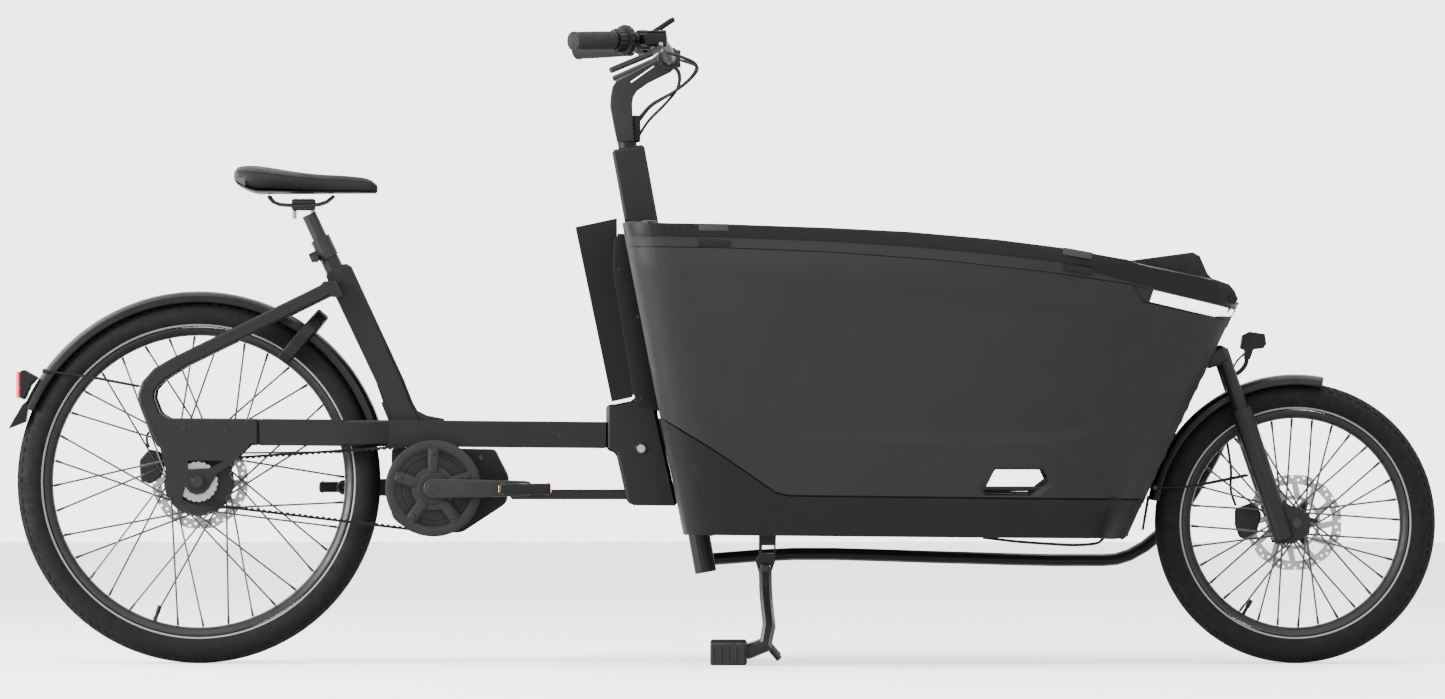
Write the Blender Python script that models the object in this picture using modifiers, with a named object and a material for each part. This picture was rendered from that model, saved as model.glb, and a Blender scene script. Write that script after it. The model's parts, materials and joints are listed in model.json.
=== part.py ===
"""A front-loading cargo bicycle with a belt drive and a mid motor.

+X points forward, +Z up, and the rider's right hand side is -Y. The origin lies on the
ground, midway along the bicycle. Lengths are in metres.
"""

import math

import bmesh
import bpy
from mathutils import Matrix, Vector
from mathutils.geometry import delaunay_2d_cdt

NAME = "cargo_bicycle"
GAP = 0.0003  # between two pieces that touch

# Wheels
REAR_AXLE = Vector((-0.9675, 0.0, 0.336))
FRONT_AXLE = Vector((1.0596, 0.0, 0.2595))
TYRE_SECTION = 0.057
BEAD_DEPTH = 0.0505  # from the tread down to the rim's flange
RIM_HEIGHT = 0.0160
RIM_HALF_WIDTH = 0.0185
HUB_FLANGE_Y = 0.026
ROTOR_RADIUS = 0.090
ROTOR_Y = 0.0445
ROTOR_THICKNESS = 0.0018
AXLE_RADIUS = 0.006

# Drive
CRANK = Vector((-0.532, 0.0, 0.324))
CRANK_LENGTH = 0.170
BELT_Y = -0.0540
BELT_WIDTH = 0.012
BELT_THICKNESS = 0.0042
BELT_PITCH = 0.011
FRONT_TEETH = 46
REAR_TEETH = 23
GUARD_RADIUS = 0.089
PEDAL_Y = 0.155

# Frame
TUBE_HEIGHT = 0.0485  # the main tube and the chainstays
TUBE_MIDDLE_Z = 0.4245  # at the crank
TUBE_SLOPE = math.radians(0.5)
STAY_Y = 0.0605
STAY_THICKNESS = 0.024
SEAT_TILT = math.radians(25.0)
POST_CLAMP = Vector((-0.762, 0.0, 0.825))  # where the seatpost meets the saddle clamp
POST_RADIUS = 0.0136

# Steering
COLUMN_LOW = Vector((-0.030, 0.0, 0.168))
COLUMN_TILT = math.radians(10.4)
FORK_TILT = math.radians(18.6)
FORK_POINT = Vector((0.984, 0.0, 0.390))  # on the axis of the fork legs
FORK_RAKE = 0.030
LEG_Y = 0.066
HEAD_LOW = 0.2095  # the head tube, measured along the steering axis
HEAD_LENGTH = 0.0905
ARM_Y = 0.120  # the steering arms' reach to the left

# Box
BOX_HALF_WIDTH = 0.310
SHELL_THICKNESS = 0.004

# Stand
STAND_PIVOT = Vector((0.080, 0.0, 0.176))
LEG_RADIUS = 0.014


def unit(x, z):
    return Vector((x, 0.0, z)).normalized()


COLUMN_UP = unit(-math.sin(COLUMN_TILT), math.cos(COLUMN_TILT))
FORK_UP = unit(-math.sin(FORK_TILT), math.cos(FORK_TILT))
SEAT_UP = unit(-math.sin(SEAT_TILT), math.cos(SEAT_TILT))
FORK_BACK = unit(-math.cos(FORK_TILT), -math.sin(FORK_TILT))
STEER_POINT = FORK_POINT + FORK_RAKE * FORK_BACK  # on the steering axis

for old in list(bpy.data.objects):
    bpy.data.objects.remove(old)
parts = bpy.data.collections.new(NAME)
cutters = bpy.data.collections.new("cutters")
bpy.context.scene.collection.children.link(parts)
bpy.context.scene.collection.children.link(cutters)


# Materials --------------------------------------------------------------------------


def material(name, grey, roughness, metallic=0.0):
    """grey is one linear value or an (r, g, b) colour."""
    colour = grey if isinstance(grey, tuple) else (grey, grey, grey)
    made = bpy.data.materials.new(name)
    made.use_nodes = True
    shader = made.node_tree.nodes["Principled BSDF"]
    shader.inputs["Base Color"].default_value = (*colour, 1.0)
    shader.inputs["Roughness"].default_value = roughness
    shader.inputs["Metallic"].default_value = metallic
    made.diffuse_color = (*colour, 1.0)
    return made


FRAME_PAINT = material("frame_paint", 0.036, 0.45)
BOX_PLASTIC = material("box_plastic", 0.054, 0.6)
SKIRT_PLASTIC = material("skirt_plastic", (0.030, 0.026, 0.030), 0.55)
TRIM_PLASTIC = material("trim_plastic", 0.014, 0.5)
BLACK_METAL = material("black_metal", 0.012, 0.4, 0.6)
TYRE_RUBBER = material("tyre_rubber", 0.021, 0.85)
SOFT_RUBBER = material("soft_rubber", 0.018, 0.8)
RIM_METAL = material("rim_metal", 0.045, 0.4, 0.8)
BARE_STEEL = material("bare_steel", 0.55, 0.3, 1.0)
RED_LENS = material("red_lens", (0.60, 0.010, 0.010), 0.2)
WHITE_LENS = material("white_lens", 0.85, 0.25)
SEAT_COVER = material("seat_cover", 0.016, 0.7)
CUSHION_FABRIC = material("cushion_fabric", 0.035, 0.9)


# Shapes -----------------------------------------------------------------------------


def put(obj, paint, collection=parts):
    collection.objects.link(obj)
    if collection is cutters:
        obj.hide_render = True
        obj.display_type = "WIRE"
    if paint:
        obj.data.materials.clear()
        obj.data.materials.append(paint)
    return obj


def from_bmesh(name, shape, smooth=True):
    bmesh.ops.recalc_face_normals(shape, faces=shape.faces)
    mesh = bpy.data.meshes.new(name)
    shape.to_mesh(mesh)
    shape.free()
    if smooth:
        mesh.shade_smooth()
        mesh.set_sharp_from_angle(angle=math.radians(35))
    return bpy.data.objects.new(name, mesh)


def turn_to(direction):
    """The rotation that takes +Z to a direction, and keeps +X as near to itself as it can."""
    up = Vector(direction).normalized()
    side = Vector((0, 1, 0)) if abs(up.y) < 0.9 else Vector((0, 0, 1))
    across = side.cross(up).normalized()
    return Matrix((across, up.cross(across), up)).transposed().to_4x4()


def block(name, size, centre, direction=(0, 0, 1), bevel=0.0, segments=1):
    """A box whose third side lies along a direction."""
    shape = bmesh.new()
    bmesh.ops.create_cube(shape, size=1.0)
    bmesh.ops.scale(shape, vec=size, verts=shape.verts)
    obj = from_bmesh(name, shape, smooth=False)
    obj.matrix_world = Matrix.Translation(centre) @ turn_to(direction)
    if bevel:
        soften(obj, bevel, segments)
    return obj


def soften(obj, width, segments=1, angle=40):
    bevel = obj.modifiers.new("rounded_edges", "BEVEL")
    bevel.width = width
    bevel.segments = segments
    bevel.limit_method = "ANGLE"
    bevel.angle_limit = math.radians(angle)
    return obj


def rod(name, start, end, radius, sides=12, end_radius=None):
    """A cylinder or a cone from start to end."""
    start, end = Vector(start), Vector(end)
    length = (end - start).length
    shape = bmesh.new()
    bmesh.ops.create_cone(
        shape,
        cap_ends=True,
        segments=sides,
        radius1=radius,
        radius2=radius if end_radius is None else end_radius,
        depth=length,
    )
    obj = from_bmesh(name, shape)
    obj.matrix_world = Matrix.Translation((start + end) / 2) @ turn_to(end - start)
    return obj


def disc(name, centre, radius, low_y, high_y, sides=24):
    """A cylinder across the bicycle."""
    x, z = centre[0], centre[-1]
    return rod(name, (x, low_y, z), (x, high_y, z), radius, sides)


def as_mesh(curve):
    """The closed mesh of a curve object, whose caps a curve leaves loose."""
    bpy.context.scene.collection.objects.link(curve)
    bpy.context.view_layer.update()
    graph = bpy.context.evaluated_depsgraph_get()
    mesh = bpy.data.meshes.new_from_object(curve.evaluated_get(graph))
    shape = bmesh.new()
    shape.from_mesh(mesh)
    bmesh.ops.remove_doubles(shape, verts=shape.verts, dist=0.00001)
    bmesh.ops.recalc_face_normals(shape, faces=shape.faces)
    shape.to_mesh(mesh)
    shape.free()
    mesh.shade_smooth()
    mesh.set_sharp_from_angle(angle=math.radians(35))
    name, place, outline = curve.name, curve.matrix_world.copy(), curve.data
    bpy.data.objects.remove(curve)
    bpy.data.curves.remove(outline)
    mesh.name = name
    obj = bpy.data.objects.new(name, mesh)
    obj.matrix_world = place
    return obj


def curved(points, count):
    """count + 1 points of the smooth curve through some points."""
    knots = [Vector(p) for p in points]
    last = len(knots) - 1
    found = []
    for step in range(count + 1):
        place = step / count * last
        k = min(int(place), last - 1)
        t = place - k
        p0, p1 = knots[max(k - 1, 0)], knots[k]
        p2, p3 = knots[k + 1], knots[min(k + 2, last)]
        found.append(
            0.5
            * (
                2 * p1
                + (p2 - p0) * t
                + (2 * p0 - 5 * p1 + 4 * p2 - p3) * t * t
                + (3 * p1 - p0 - 3 * p2 + p3) * t**3
            )
        )
    return found


def tube(name, points, radius, resolution=2):
    """A round tube through points, as a curve with a bevel and filled caps."""
    curve = bpy.data.curves.new(name, "CURVE")
    curve.dimensions = "3D"
    curve.bevel_depth = radius
    curve.bevel_resolution = resolution
    curve.use_fill_caps = True
    spline = curve.splines.new("POLY")
    spline.points.add(len(points) - 1)
    for spot, point in zip(spline.points, points):
        spot.co = (*point, 1.0)
    return bpy.data.objects.new(name, curve)


def flat(name, outlines, thickness):
    """A filled outline in the XY plane, with its holes, and half a thickness each way."""
    curve = bpy.data.curves.new(name, "CURVE")
    curve.dimensions = "2D"
    curve.fill_mode = "BOTH"
    curve.extrude = thickness / 2
    for outline in outlines:
        spline = curve.splines.new("POLY")
        spline.points.add(len(outline) - 1)
        spline.use_cyclic_u = True
        for spot, (x, y) in zip(spline.points, outline):
            spot.co = (x, y, 0.0, 1.0)
    return bpy.data.objects.new(name, curve)


def plate(name, outlines, low_y, high_y):
    """A flat outline in X and Z, between two values of Y."""
    obj = flat(name, outlines, high_y - low_y)
    turn = Matrix.Rotation(math.radians(90), 4, "X")
    obj.matrix_world = Matrix.Translation((0, (low_y + high_y) / 2, 0)) @ turn
    return as_mesh(obj)


def slab(name, outlines, low_z, high_z):
    """A flat outline in X and Y, between two values of Z."""
    obj = flat(name, outlines, high_z - low_z)
    obj.matrix_world = Matrix.Translation((0, 0, (low_z + high_z) / 2))
    return as_mesh(obj)


def circle(centre, radius, sides, start=0.0, sweep=math.tau):
    """Points on a circle or an arc, in a plane."""
    full = abs(sweep - math.tau) < 1e-6
    steps = sides if full else sides - 1
    return [
        (
            centre[0] + radius * math.cos(start + sweep * k / steps),
            centre[-1] + radius * math.sin(start + sweep * k / steps),
        )
        for k in range(sides)
    ]


def rounded(corners, radii, steps=3):
    """An outline with its corners rounded. radii is one number or one for each corner."""
    count = len(corners)
    if not isinstance(radii, (list, tuple)):
        radii = [radii] * count
    found = []
    for k, radius in enumerate(radii):
        here = Vector(corners[k])
        if not radius:
            found.append(tuple(here))
            continue
        before = (Vector(corners[k - 1]) - here).normalized()
        after = (Vector(corners[(k + 1) % count]) - here).normalized()
        half = before.angle(after) / 2
        reach = radius / math.tan(half)
        middle = here + (before + after).normalized() * radius / math.sin(half)
        start = here + before * reach - middle
        end = here + after * reach - middle
        turn = start.angle_signed(end)
        for step in range(steps + 1):
            spin = Matrix.Rotation(-turn * step / steps, 2)
            found.append(tuple(middle + spin @ start))
    return found


def turned(name, profile, steps, start=0.0, sweep=math.tau, thickness=0.0):
    """A profile of (radius, y) points turned about the Y axis.

    A full turn is a closed profile, and a part of a turn is an open one with a thickness.
    """
    mesh = bpy.data.meshes.new(name)
    shape = bmesh.new()
    spots = [shape.verts.new((radius, y, 0.0)) for radius, y in profile]
    closed = thickness == 0.0
    for a, b in zip(spots, spots[1:] + spots[:1] if closed else spots[1:]):
        shape.edges.new((a, b))
    bmesh.ops.rotate(
        shape,
        verts=shape.verts,
        cent=(0, 0, 0),
        matrix=Matrix.Rotation(-start, 3, "Y"),
    )
    shape.to_mesh(mesh)
    shape.free()
    obj = bpy.data.objects.new(name, mesh)
    screw = obj.modifiers.new("turned", "SCREW")
    screw.axis = "Y"
    screw.angle = -sweep
    screw.steps = steps
    screw.render_steps = steps
    screw.use_smooth_shade = True
    if closed:
        screw.use_merge_vertices = True
        screw.merge_threshold = 0.0001
    else:
        shell = obj.modifiers.new("shell", "SOLIDIFY")
        shell.thickness = thickness
        shell.offset = 0.0
    return obj


def with_modifiers(obj):
    """The same object with its modifiers made part of its mesh, and its faces outward."""
    linked = obj.users_collection
    if not linked:
        bpy.context.scene.collection.objects.link(obj)
    bpy.context.view_layer.update()
    graph = bpy.context.evaluated_depsgraph_get()
    mesh = bpy.data.meshes.new_from_object(obj.evaluated_get(graph))
    shape = bmesh.new()
    shape.from_mesh(mesh)
    bmesh.ops.recalc_face_normals(shape, faces=shape.faces)
    shape.to_mesh(mesh)
    shape.free()
    obj.modifiers.clear()
    obj.data = mesh
    if not linked:
        bpy.context.scene.collection.objects.unlink(obj)
    return obj


def combine(obj, others, operation):
    for k, other in enumerate(others):
        put(other, None, cutters)
        step = obj.modifiers.new(f"{operation.lower()}_{k}", "BOOLEAN")
        step.operation = operation
        step.object = other
    return obj


def join(obj, *others):
    return combine(obj, others, "UNION")


def cut(obj, *others):
    return combine(obj, others, "DIFFERENCE")


def mirrored(points):
    """The same points on the other side of the bicycle."""
    return [(x, -y, z) for x, y, z in points]


def axis_empty(name, place, parent=None):
    """An empty on a joint's axis, which the moving pieces hang from."""
    empty = bpy.data.objects.new(name, None)
    empty.empty_display_size = 0.05
    empty.location = place
    parts.objects.link(empty)
    bpy.context.view_layer.update()
    if parent:
        hang(empty, parent)
    return empty


def hang(obj, parent):
    """Parents an object where it lies, with the shapes that are cut from it or joined to it."""
    for step in obj.modifiers:
        if step.type == "BOOLEAN":
            hang(step.object, parent)
    obj.parent = parent
    obj.matrix_parent_inverse = parent.matrix_world.inverted()
    return obj


# Joint axes ---------------------------------------------------------------------------

rear_wheel_axis = axis_empty("rear_wheel_axis", REAR_AXLE)
crank_axis = axis_empty("crank_axis", CRANK)
column_axis = axis_empty("column_axis", COLUMN_LOW)
fork_axis = axis_empty("fork_axis", STEER_POINT)
slider_axis = axis_empty("slider_axis", FORK_POINT, fork_axis)
front_wheel_axis = axis_empty("front_wheel_axis", FRONT_AXLE, slider_axis)
stand_axis = axis_empty("stand_axis", STAND_PIVOT)
post_axis = axis_empty("post_axis", POST_CLAMP)


# Wheels -------------------------------------------------------------------------------


def tyre(name, radius, steps):
    """A hollow casing, open inward where the rim closes it."""
    half = TYRE_SECTION / 2
    middle = radius - half
    bead = radius - BEAD_DEPTH
    outside = [
        (middle + half * math.cos(a), half * math.sin(a))
        for a in (math.radians(angle) for angle in (-125, -80, -40, 0, 40, 80, 125))
    ]
    inner = half - 0.004
    inside = [
        (middle + inner * math.cos(a), inner * math.sin(a))
        for a in (math.radians(angle) for angle in (115, 45, -45, -115))
    ]
    foot = [(bead + GAP, 0.0165), (bead + GAP, 0.0125)]
    other_foot = [(r, -y) for r, y in reversed(foot)]
    return turned(name, outside + foot + inside + other_foot, steps)


def rim(name, radius, steps):
    """A double-walled rim with its flanges against the tyre's beads."""
    top = radius - BEAD_DEPTH
    low = top - RIM_HEIGHT
    half = [(low, 0.006), (low + 0.005, 0.0135), (top, RIM_HALF_WIDTH), (top - 0.003, 0.0120)]
    return turned(name, [(r, -y) for r, y in half] + half[::-1], steps)


def spoked_hub(name, barrel, flange, rim_inside, count, phase):
    """A hub with a bore for its axle, and crossed spokes that end just inside the rim."""
    bore = AXLE_RADIUS + 0.0005
    edge = HUB_FLANGE_Y + 0.004
    profile = [(bore, edge + 0.012), (bore, -edge - 0.012), (0.020, -edge - 0.012)]
    profile += [(0.020, -edge), (flange, -edge), (flange, -edge + 0.006), (barrel, -0.014)]
    profile += [(barrel, 0.014), (flange, edge - 0.006), (flange, edge), (0.020, edge)]
    profile += [(0.020, edge + 0.012)]
    hub = with_modifiers(turned(name, profile, 16))
    cross = math.radians(48)
    shape = bmesh.new()
    for k in range(count):
        outer = phase + math.tau * k / count
        side = 1 if k % 2 else -1
        inner = outer + (cross if k % 4 < 2 else -cross)
        root = flange - 0.004
        start = Vector((root * math.cos(inner), side * HUB_FLANGE_Y, root * math.sin(inner)))
        end = Vector((rim_inside * math.cos(outer), side * 0.003, rim_inside * math.sin(outer)))
        place = Matrix.Translation((start + end) / 2) @ turn_to(end - start)
        bmesh.ops.create_cone(
            shape,
            cap_ends=True,
            segments=3,
            radius1=0.0016,
            radius2=0.0016,
            depth=(end - start).length,
            matrix=place,
        )
    spokes = from_bmesh(name + "_spokes", shape, smooth=False)
    join(hub, spokes)
    return hub


def rotor(name, y):
    """A brake disc with six windows and a centre hole over the hub."""
    windows = []
    for k in range(6):
        a = math.tau * k / 6
        wide = math.radians(42)
        outer = circle((0, 0), 0.074, 4, a, wide)
        inner = circle((0, 0), 0.034, 3, a + wide, -wide)
        windows.append(outer + inner)
    outlines = [circle((0, 0), ROTOR_RADIUS, 32), circle((0, 0), 0.0205, 12)] + windows
    return plate(name, outlines, y, y + ROTOR_THICKNESS)


def wheel(name, axle, radius, steps, hub, axis):
    """hub holds the barrel's radius, the flange's radius, the spoke count and the phase."""
    barrel, flange, count, phase = hub
    inside = radius - BEAD_DEPTH - RIM_HEIGHT - 0.0015
    pieces = [
        put(tyre(name + "_tyre", radius, steps), TYRE_RUBBER),
        put(rim(name + "_rim", radius, steps), RIM_METAL),
        put(spoked_hub(name + "_hub", barrel, flange, inside, count, phase), BLACK_METAL),
        put(rotor(name + "_rotor", ROTOR_Y), BARE_STEEL),
    ]
    for piece in pieces:
        joined = [step.object for step in piece.modifiers if step.type == "BOOLEAN"]
        for obj in [piece] + joined:
            obj.matrix_world = Matrix.Translation(axle) @ obj.matrix_world
    bpy.context.view_layer.update()
    for piece in pieces:
        hang(piece, axis)


wheel("rear", REAR_AXLE, REAR_AXLE.z, 36, (0.056, 0.064, 36, 0.03), rear_wheel_axis)
wheel("front", FRONT_AXLE, FRONT_AXLE.z, 32, (0.020, 0.029, 32, 0.03), front_wheel_axis)


# Frame --------------------------------------------------------------------------------


def main_frame():
    """The main tube, the yoke with the two chainstays, and the seat tube."""
    half = [(-0.2155, 0.034), (-0.600, 0.042), (-0.665, 0.0465), (-0.700, 0.0725)]
    half += [(-0.8525, 0.0725), (-0.8525, 0.0485), (-0.720, 0.0485), (-0.680, 0.0385)]
    half += [(-0.6175, 0.0385)]
    outline = half + [(x, -y) for x, y in reversed(half)]
    frame = slab("main_frame", [outline], -TUBE_HEIGHT / 2, TUBE_HEIGHT / 2)
    frame.matrix_world = (
        Matrix.Translation((CRANK.x, 0, TUBE_MIDDLE_Z))
        @ Matrix.Rotation(TUBE_SLOPE, 4, "Y")
        @ Matrix.Translation((-CRANK.x, 0, 0))
    )
    side = [(-0.735, 0.720), (-0.700, 0.738), (-0.688, 0.739), (-0.588, 0.523)]
    side += [(-0.572, 0.482), (-0.548, 0.440), (-0.612, 0.440), (-0.640, 0.520)]
    mast = plate("seat_mast", [side], -0.022, 0.022)
    soften(mast, 0.006)
    low = POST_CLAMP - 0.40 * SEAT_UP
    bore = rod("seat_bore", low, POST_CLAMP, POST_RADIUS + 0.0004, 20)
    sleeve = rod("seat_sleeve", POST_CLAMP - 0.130 * SEAT_UP, POST_CLAMP - 0.0835 * SEAT_UP,
                 0.0170, 20)
    return cut(join(frame, mast, sleeve), bore)


def rear_stay(name, side):
    """One side of the rear loop: stay, chainstay end and dropout, from one plate."""
    outer = [(-0.7375, 0.7005), (-1.012, 0.566), (-1.048, 0.545), (-1.070, 0.520)]
    outer += [(-1.077, 0.498), (-1.075, 0.478), (-1.044, 0.405), (-1.040, 0.3985)]
    outer += [(-0.8533, 0.4035), (-0.8533, 0.4518), (-1.019, 0.4530), (-1.036, 0.462)]
    outer += [(-1.047, 0.490), (-1.045, 0.505), (-1.030, 0.522), (-0.990, 0.548)]
    outer += [(-0.7175, 0.6815)]
    low, high = STAY_Y - STAY_THICKNESS / 2, STAY_Y + STAY_THICKNESS / 2
    if side < 0:
        low, high = -high, -low
    loop = soften(plate(name, [outer], low, high), 0.004)
    drop = [(-1.040, 0.412), (-1.012, 0.302), (-1.000, 0.288)]
    drop += circle((REAR_AXLE.x, REAR_AXLE.z), 0.024, 5, math.radians(200), math.radians(130))
    drop += [(-0.930, 0.352), (-0.908, 0.366), (-0.872, 0.402), (-0.872, 0.412)]
    window = [(-0.985, 0.359), (-0.945, 0.361), (-0.918, 0.375), (-0.985, 0.375)]
    plate_y = (0.0667, 0.0722) if side > 0 else (-0.0722, -0.0667)
    dropout = plate(name + "_dropout", [drop, window], *plate_y)
    boss_y = (0.0592, 0.0790) if side > 0 else (-0.0790, -0.0630)
    boss = disc(name + "_boss", REAR_AXLE, 0.013, *boss_y, 16)
    return join(loop, dropout, boss)


put(main_frame(), FRAME_PAINT)
put(rear_stay("rear_stay_left", 1), FRAME_PAINT)
right_stay = rear_stay("rear_stay_right", -1)
rear_axle = disc("rear_thru_axle", REAR_AXLE, AXLE_RADIUS, -0.070, 0.0585, 12)
put(join(right_stay, rear_axle), FRAME_PAINT)


def motor():
    """The mid motor with its mounting block, and a bore for the crank axle."""
    corners = [(-0.610, 0.3985), (-0.612, 0.270), (-0.570, 0.240), (-0.480, 0.242)]
    corners += [(-0.398, 0.296), (-0.394, 0.345), (-0.420, 0.3955)]
    body = plate("motor", [rounded(corners, [0.006, 0.03, 0.03, 0.03, 0.02, 0.03, 0.01])],
                 -0.040, 0.040)
    soften(body, 0.006)
    bore = disc("motor_bore", CRANK, 0.0145, -0.06, 0.06, 16)
    return cut(body, bore)


put(motor(), BLACK_METAL)


def column_housing():
    """The upright that holds the steering column, and the brace up from the motor."""
    corners = [(-0.2145, 0.478), (-0.2145, 0.395), (-0.196, 0.388), (-0.176, 0.300)]
    corners += [(-0.168, 0.292), (-0.082, 0.291), (-0.118, 0.455), (-0.1735, 0.742)]
    corners += [(-0.1985, 0.742), (-0.1960, 0.728), (-0.1560, 0.503), (-0.164, 0.486)]
    corners += [(-0.197, 0.479)]
    housing = plate("column_housing", [corners], -0.034, 0.034)
    soften(housing, 0.005)
    brace = block("brace", (0.018, 0.050, 0.220), (-0.2820, 0, 0.312), (1, 0, 0), 0.004)
    bracket = block("bearing_bracket", (0.0165, 0.060, 0.056), (-0.1851, 0, 0.766))
    bolt = disc("housing_bolt", (-0.149, 0.397), 0.009, -0.0365, -0.030, 12)
    return join(housing, brace, bracket, bolt)


put(column_housing(), FRAME_PAINT)


def beam():
    """The beam under the cargo floor, up behind the front wheel to the head tube."""
    run = [(-0.010, 0.300), (-0.010, 0.258), (0.690, 0.256), (0.765, 0.300)]
    run += [(0.868, 0.575), (0.892, 0.600), (0.880, 0.640), (0.842, 0.612), (0.728, 0.316)]
    run += [(0.700, 0.300)]
    spine = plate("beam", [run], -0.030, 0.030)
    low = STEER_POINT + FORK_UP * HEAD_LOW
    head = rod("head_tube", low, low + FORK_UP * HEAD_LENGTH, 0.025, 20)
    bore = rod("head_bore", low - FORK_UP * 0.01, low + FORK_UP * 0.13, 0.0165, 16)
    cheek = [(-0.0812, 0.2915), (-0.1172, 0.452), (-0.1000, 0.452), (-0.060, 0.310)]
    cheek += [(0.010, 0.299), (0.010, 0.259), (-0.074, 0.259)]
    cheeks = [
        plate("beam_cheek", [cheek], *sorted((side * 0.0255, side * 0.0340)))
        for side in (-1, 1)
    ]
    return cut(join(spine, head, *cheeks), bore)


put(beam(), FRAME_PAINT)


def fender(name, axle, radius, depth, half, start, sweep, steps):
    """A curved guard over a tyre, with a lip down each side."""
    lip = radius - depth
    profile = [(lip, -half), (lip + depth * 0.60, -half + 0.002), (radius, -half * 0.4)]
    profile += [(r, -y) for r, y in reversed(profile)]
    guard = turned(name, profile, steps, start, sweep, 0.0024)
    guard.matrix_world = Matrix.Translation(axle)
    return guard


def rear_fender():
    guard = fender("rear_fender", REAR_AXLE, 0.3518, 0.019, 0.0345,
                   math.radians(16), math.radians(141), 18)
    flap = [(-1.2835, 0.486), (-1.2930, 0.478), (-1.3175, 0.437), (-1.3191, 0.433)]
    flap += [(-1.2875, 0.446), (-1.2825, 0.474)]
    flap = plate("mudflap", [flap], -0.030, 0.030)
    rods = []
    for side in (-1, 1):
        points = [(-1.251, side * 0.0345, 0.540), (-1.180, side * 0.0395, 0.531)]
        points += [(-1.115, side * 0.0435, 0.519), (-1.0785, side * 0.0465, 0.512)]
        rods.append(as_mesh(tube("fender_stay", points, 0.0022, 1)))
    return join(guard, flap, *rods)


put(rear_fender(), TRIM_PLASTIC)
lamp = [(-1.2977, 0.4900), (-1.2977, 0.540), (-1.290, 0.543), (-1.2640, 0.5280)]
lamp += [(-1.2770, 0.5140), (-1.2888, 0.4870)]
put(soften(plate("tail_light_body", [lamp], -0.028, 0.028), 0.002), TRIM_PLASTIC)
put(block("tail_light_lens", (0.0066, 0.054, 0.050), (-1.3013, 0, 0.515), (0, 0, 1), 0.002),
    RED_LENS)


# Ring lock ----------------------------------------------------------------------------

LOCK_UP = unit(0.648, 0.761)
LOCK_TOP = Vector((-0.736, 0.0, 0.6477))
LOCK_CENTRE = LOCK_TOP - 0.0685 * LOCK_UP
LOCK_WIDTH = 0.025
lock_axis = axis_empty("lock_axis", LOCK_CENTRE)


def lock_frame():
    """Local X to the left, local Y up the ring's plane, local Z along its axis."""
    side = Vector((0, 1, 0))
    turn = Matrix((side, LOCK_UP, side.cross(LOCK_UP))).transposed().to_4x4()
    return Matrix.Translation(LOCK_CENTRE) @ turn


def ring(name, inner, outer, start, sweep, width):
    steps = 15
    outline = circle((0, 0), outer, steps, math.radians(start), math.radians(sweep))
    outline += circle((0, 0), inner, steps, math.radians(start + sweep), -math.radians(sweep))
    made = flat(name, [outline], width)
    made.matrix_world = lock_frame()
    return as_mesh(made)


lock = ring("ring_lock_body", 0.0480, 0.0685, -48, 276, LOCK_WIDTH)
groove = ring("lock_groove", 0.0515, 0.0648, -60, 300, 0.010)
put(cut(soften(lock, 0.003), groove), TRIM_PLASTIC)
shackle = ring("ring_lock_shackle", 0.0540, 0.0620, -46, 118, 0.008)
put(shackle, BARE_STEEL)
bpy.context.view_layer.update()
hang(shackle, lock_axis)


# Saddle and seatpost ------------------------------------------------------------------


def loft(name, rings):
    """A closed solid through rings with the same number of points."""
    shape = bmesh.new()
    rows = [[shape.verts.new(point) for point in ring_points] for ring_points in rings]
    for row, following in zip(rows, rows[1:]):
        for k in range(len(row)):
            after = (k + 1) % len(row)
            shape.faces.new((row[k], row[after], following[after], following[k]))
    shape.faces.new(rows[0])
    shape.faces.new(reversed(rows[-1]))
    return from_bmesh(name, shape)


def saddle():
    """Stations from the back to the nose: x, half width, top and bottom."""
    stations = [(-0.9020, 0.040, 0.908, 0.893), (-0.892, 0.078, 0.918, 0.882)]
    stations += [(-0.862, 0.092, 0.920, 0.8685), (-0.825, 0.086, 0.915, 0.8675)]
    stations += [(-0.780, 0.058, 0.908, 0.8675), (-0.740, 0.036, 0.904, 0.8675)]
    stations += [(-0.690, 0.026, 0.901, 0.868), (-0.655, 0.022, 0.896, 0.868)]
    stations += [(-0.637, 0.012, 0.884, 0.868)]
    rings = []
    for x, half, top, low in stations:
        height = top - low
        section = [(-0.75, 0.0), (-1.0, 0.35), (-0.93, 0.75), (-0.5, 0.98), (0.0, 0.93)]
        section += [(-y, z) for y, z in reversed(section[:-1])]
        rings.append([(x, y * half, low + z * height) for y, z in section])
    return loft("saddle", rings)


put(saddle(), SEAT_COVER)
pieces = [block("saddle_clamp", (0.044, 0.040, 0.0215), (-0.774, 0, 0.8478),
                (0, 0, 1), 0.003)]
for side in (-1, 1):
    points = [(-0.838, side * 0.030, 0.8632), (-0.818, side * 0.021, 0.848)]
    points += [(-0.745, side * 0.021, 0.848), (-0.718, side * 0.010, 0.8635)]
    pieces.append(as_mesh(tube("saddle_rail", curved(points, 9), 0.0035, 1)))
put(join(*pieces), BARE_STEEL)
post_low = POST_CLAMP - 0.270 * SEAT_UP
post = rod("seatpost", post_low, POST_CLAMP + 0.0055 * SEAT_UP, POST_RADIUS, 20)
put(post, BLACK_METAL)
collar_low = POST_CLAMP - 0.083 * SEAT_UP
collar = rod("seat_collar", collar_low, collar_low + 0.040 * SEAT_UP, 0.0185, 20)
collar_bore = rod("collar_bore", collar_low - 0.01 * SEAT_UP, POST_CLAMP,
                  POST_RADIUS + 0.0004, 20)
ear = block("collar_ear", (0.020, 0.018, 0.018), collar_low + 0.014 * SEAT_UP
            + Vector((-0.020, 0, -0.010)), SEAT_UP, 0.002)
put(cut(join(collar, ear), collar_bore), BLACK_METAL)
bpy.context.view_layer.update()
for name in ("seatpost", "saddle", "saddle_clamp"):
    hang(bpy.data.objects[name], post_axis)


# Drive --------------------------------------------------------------------------------


def pulley_radius(teeth):
    return teeth * BELT_PITCH / math.tau


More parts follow.
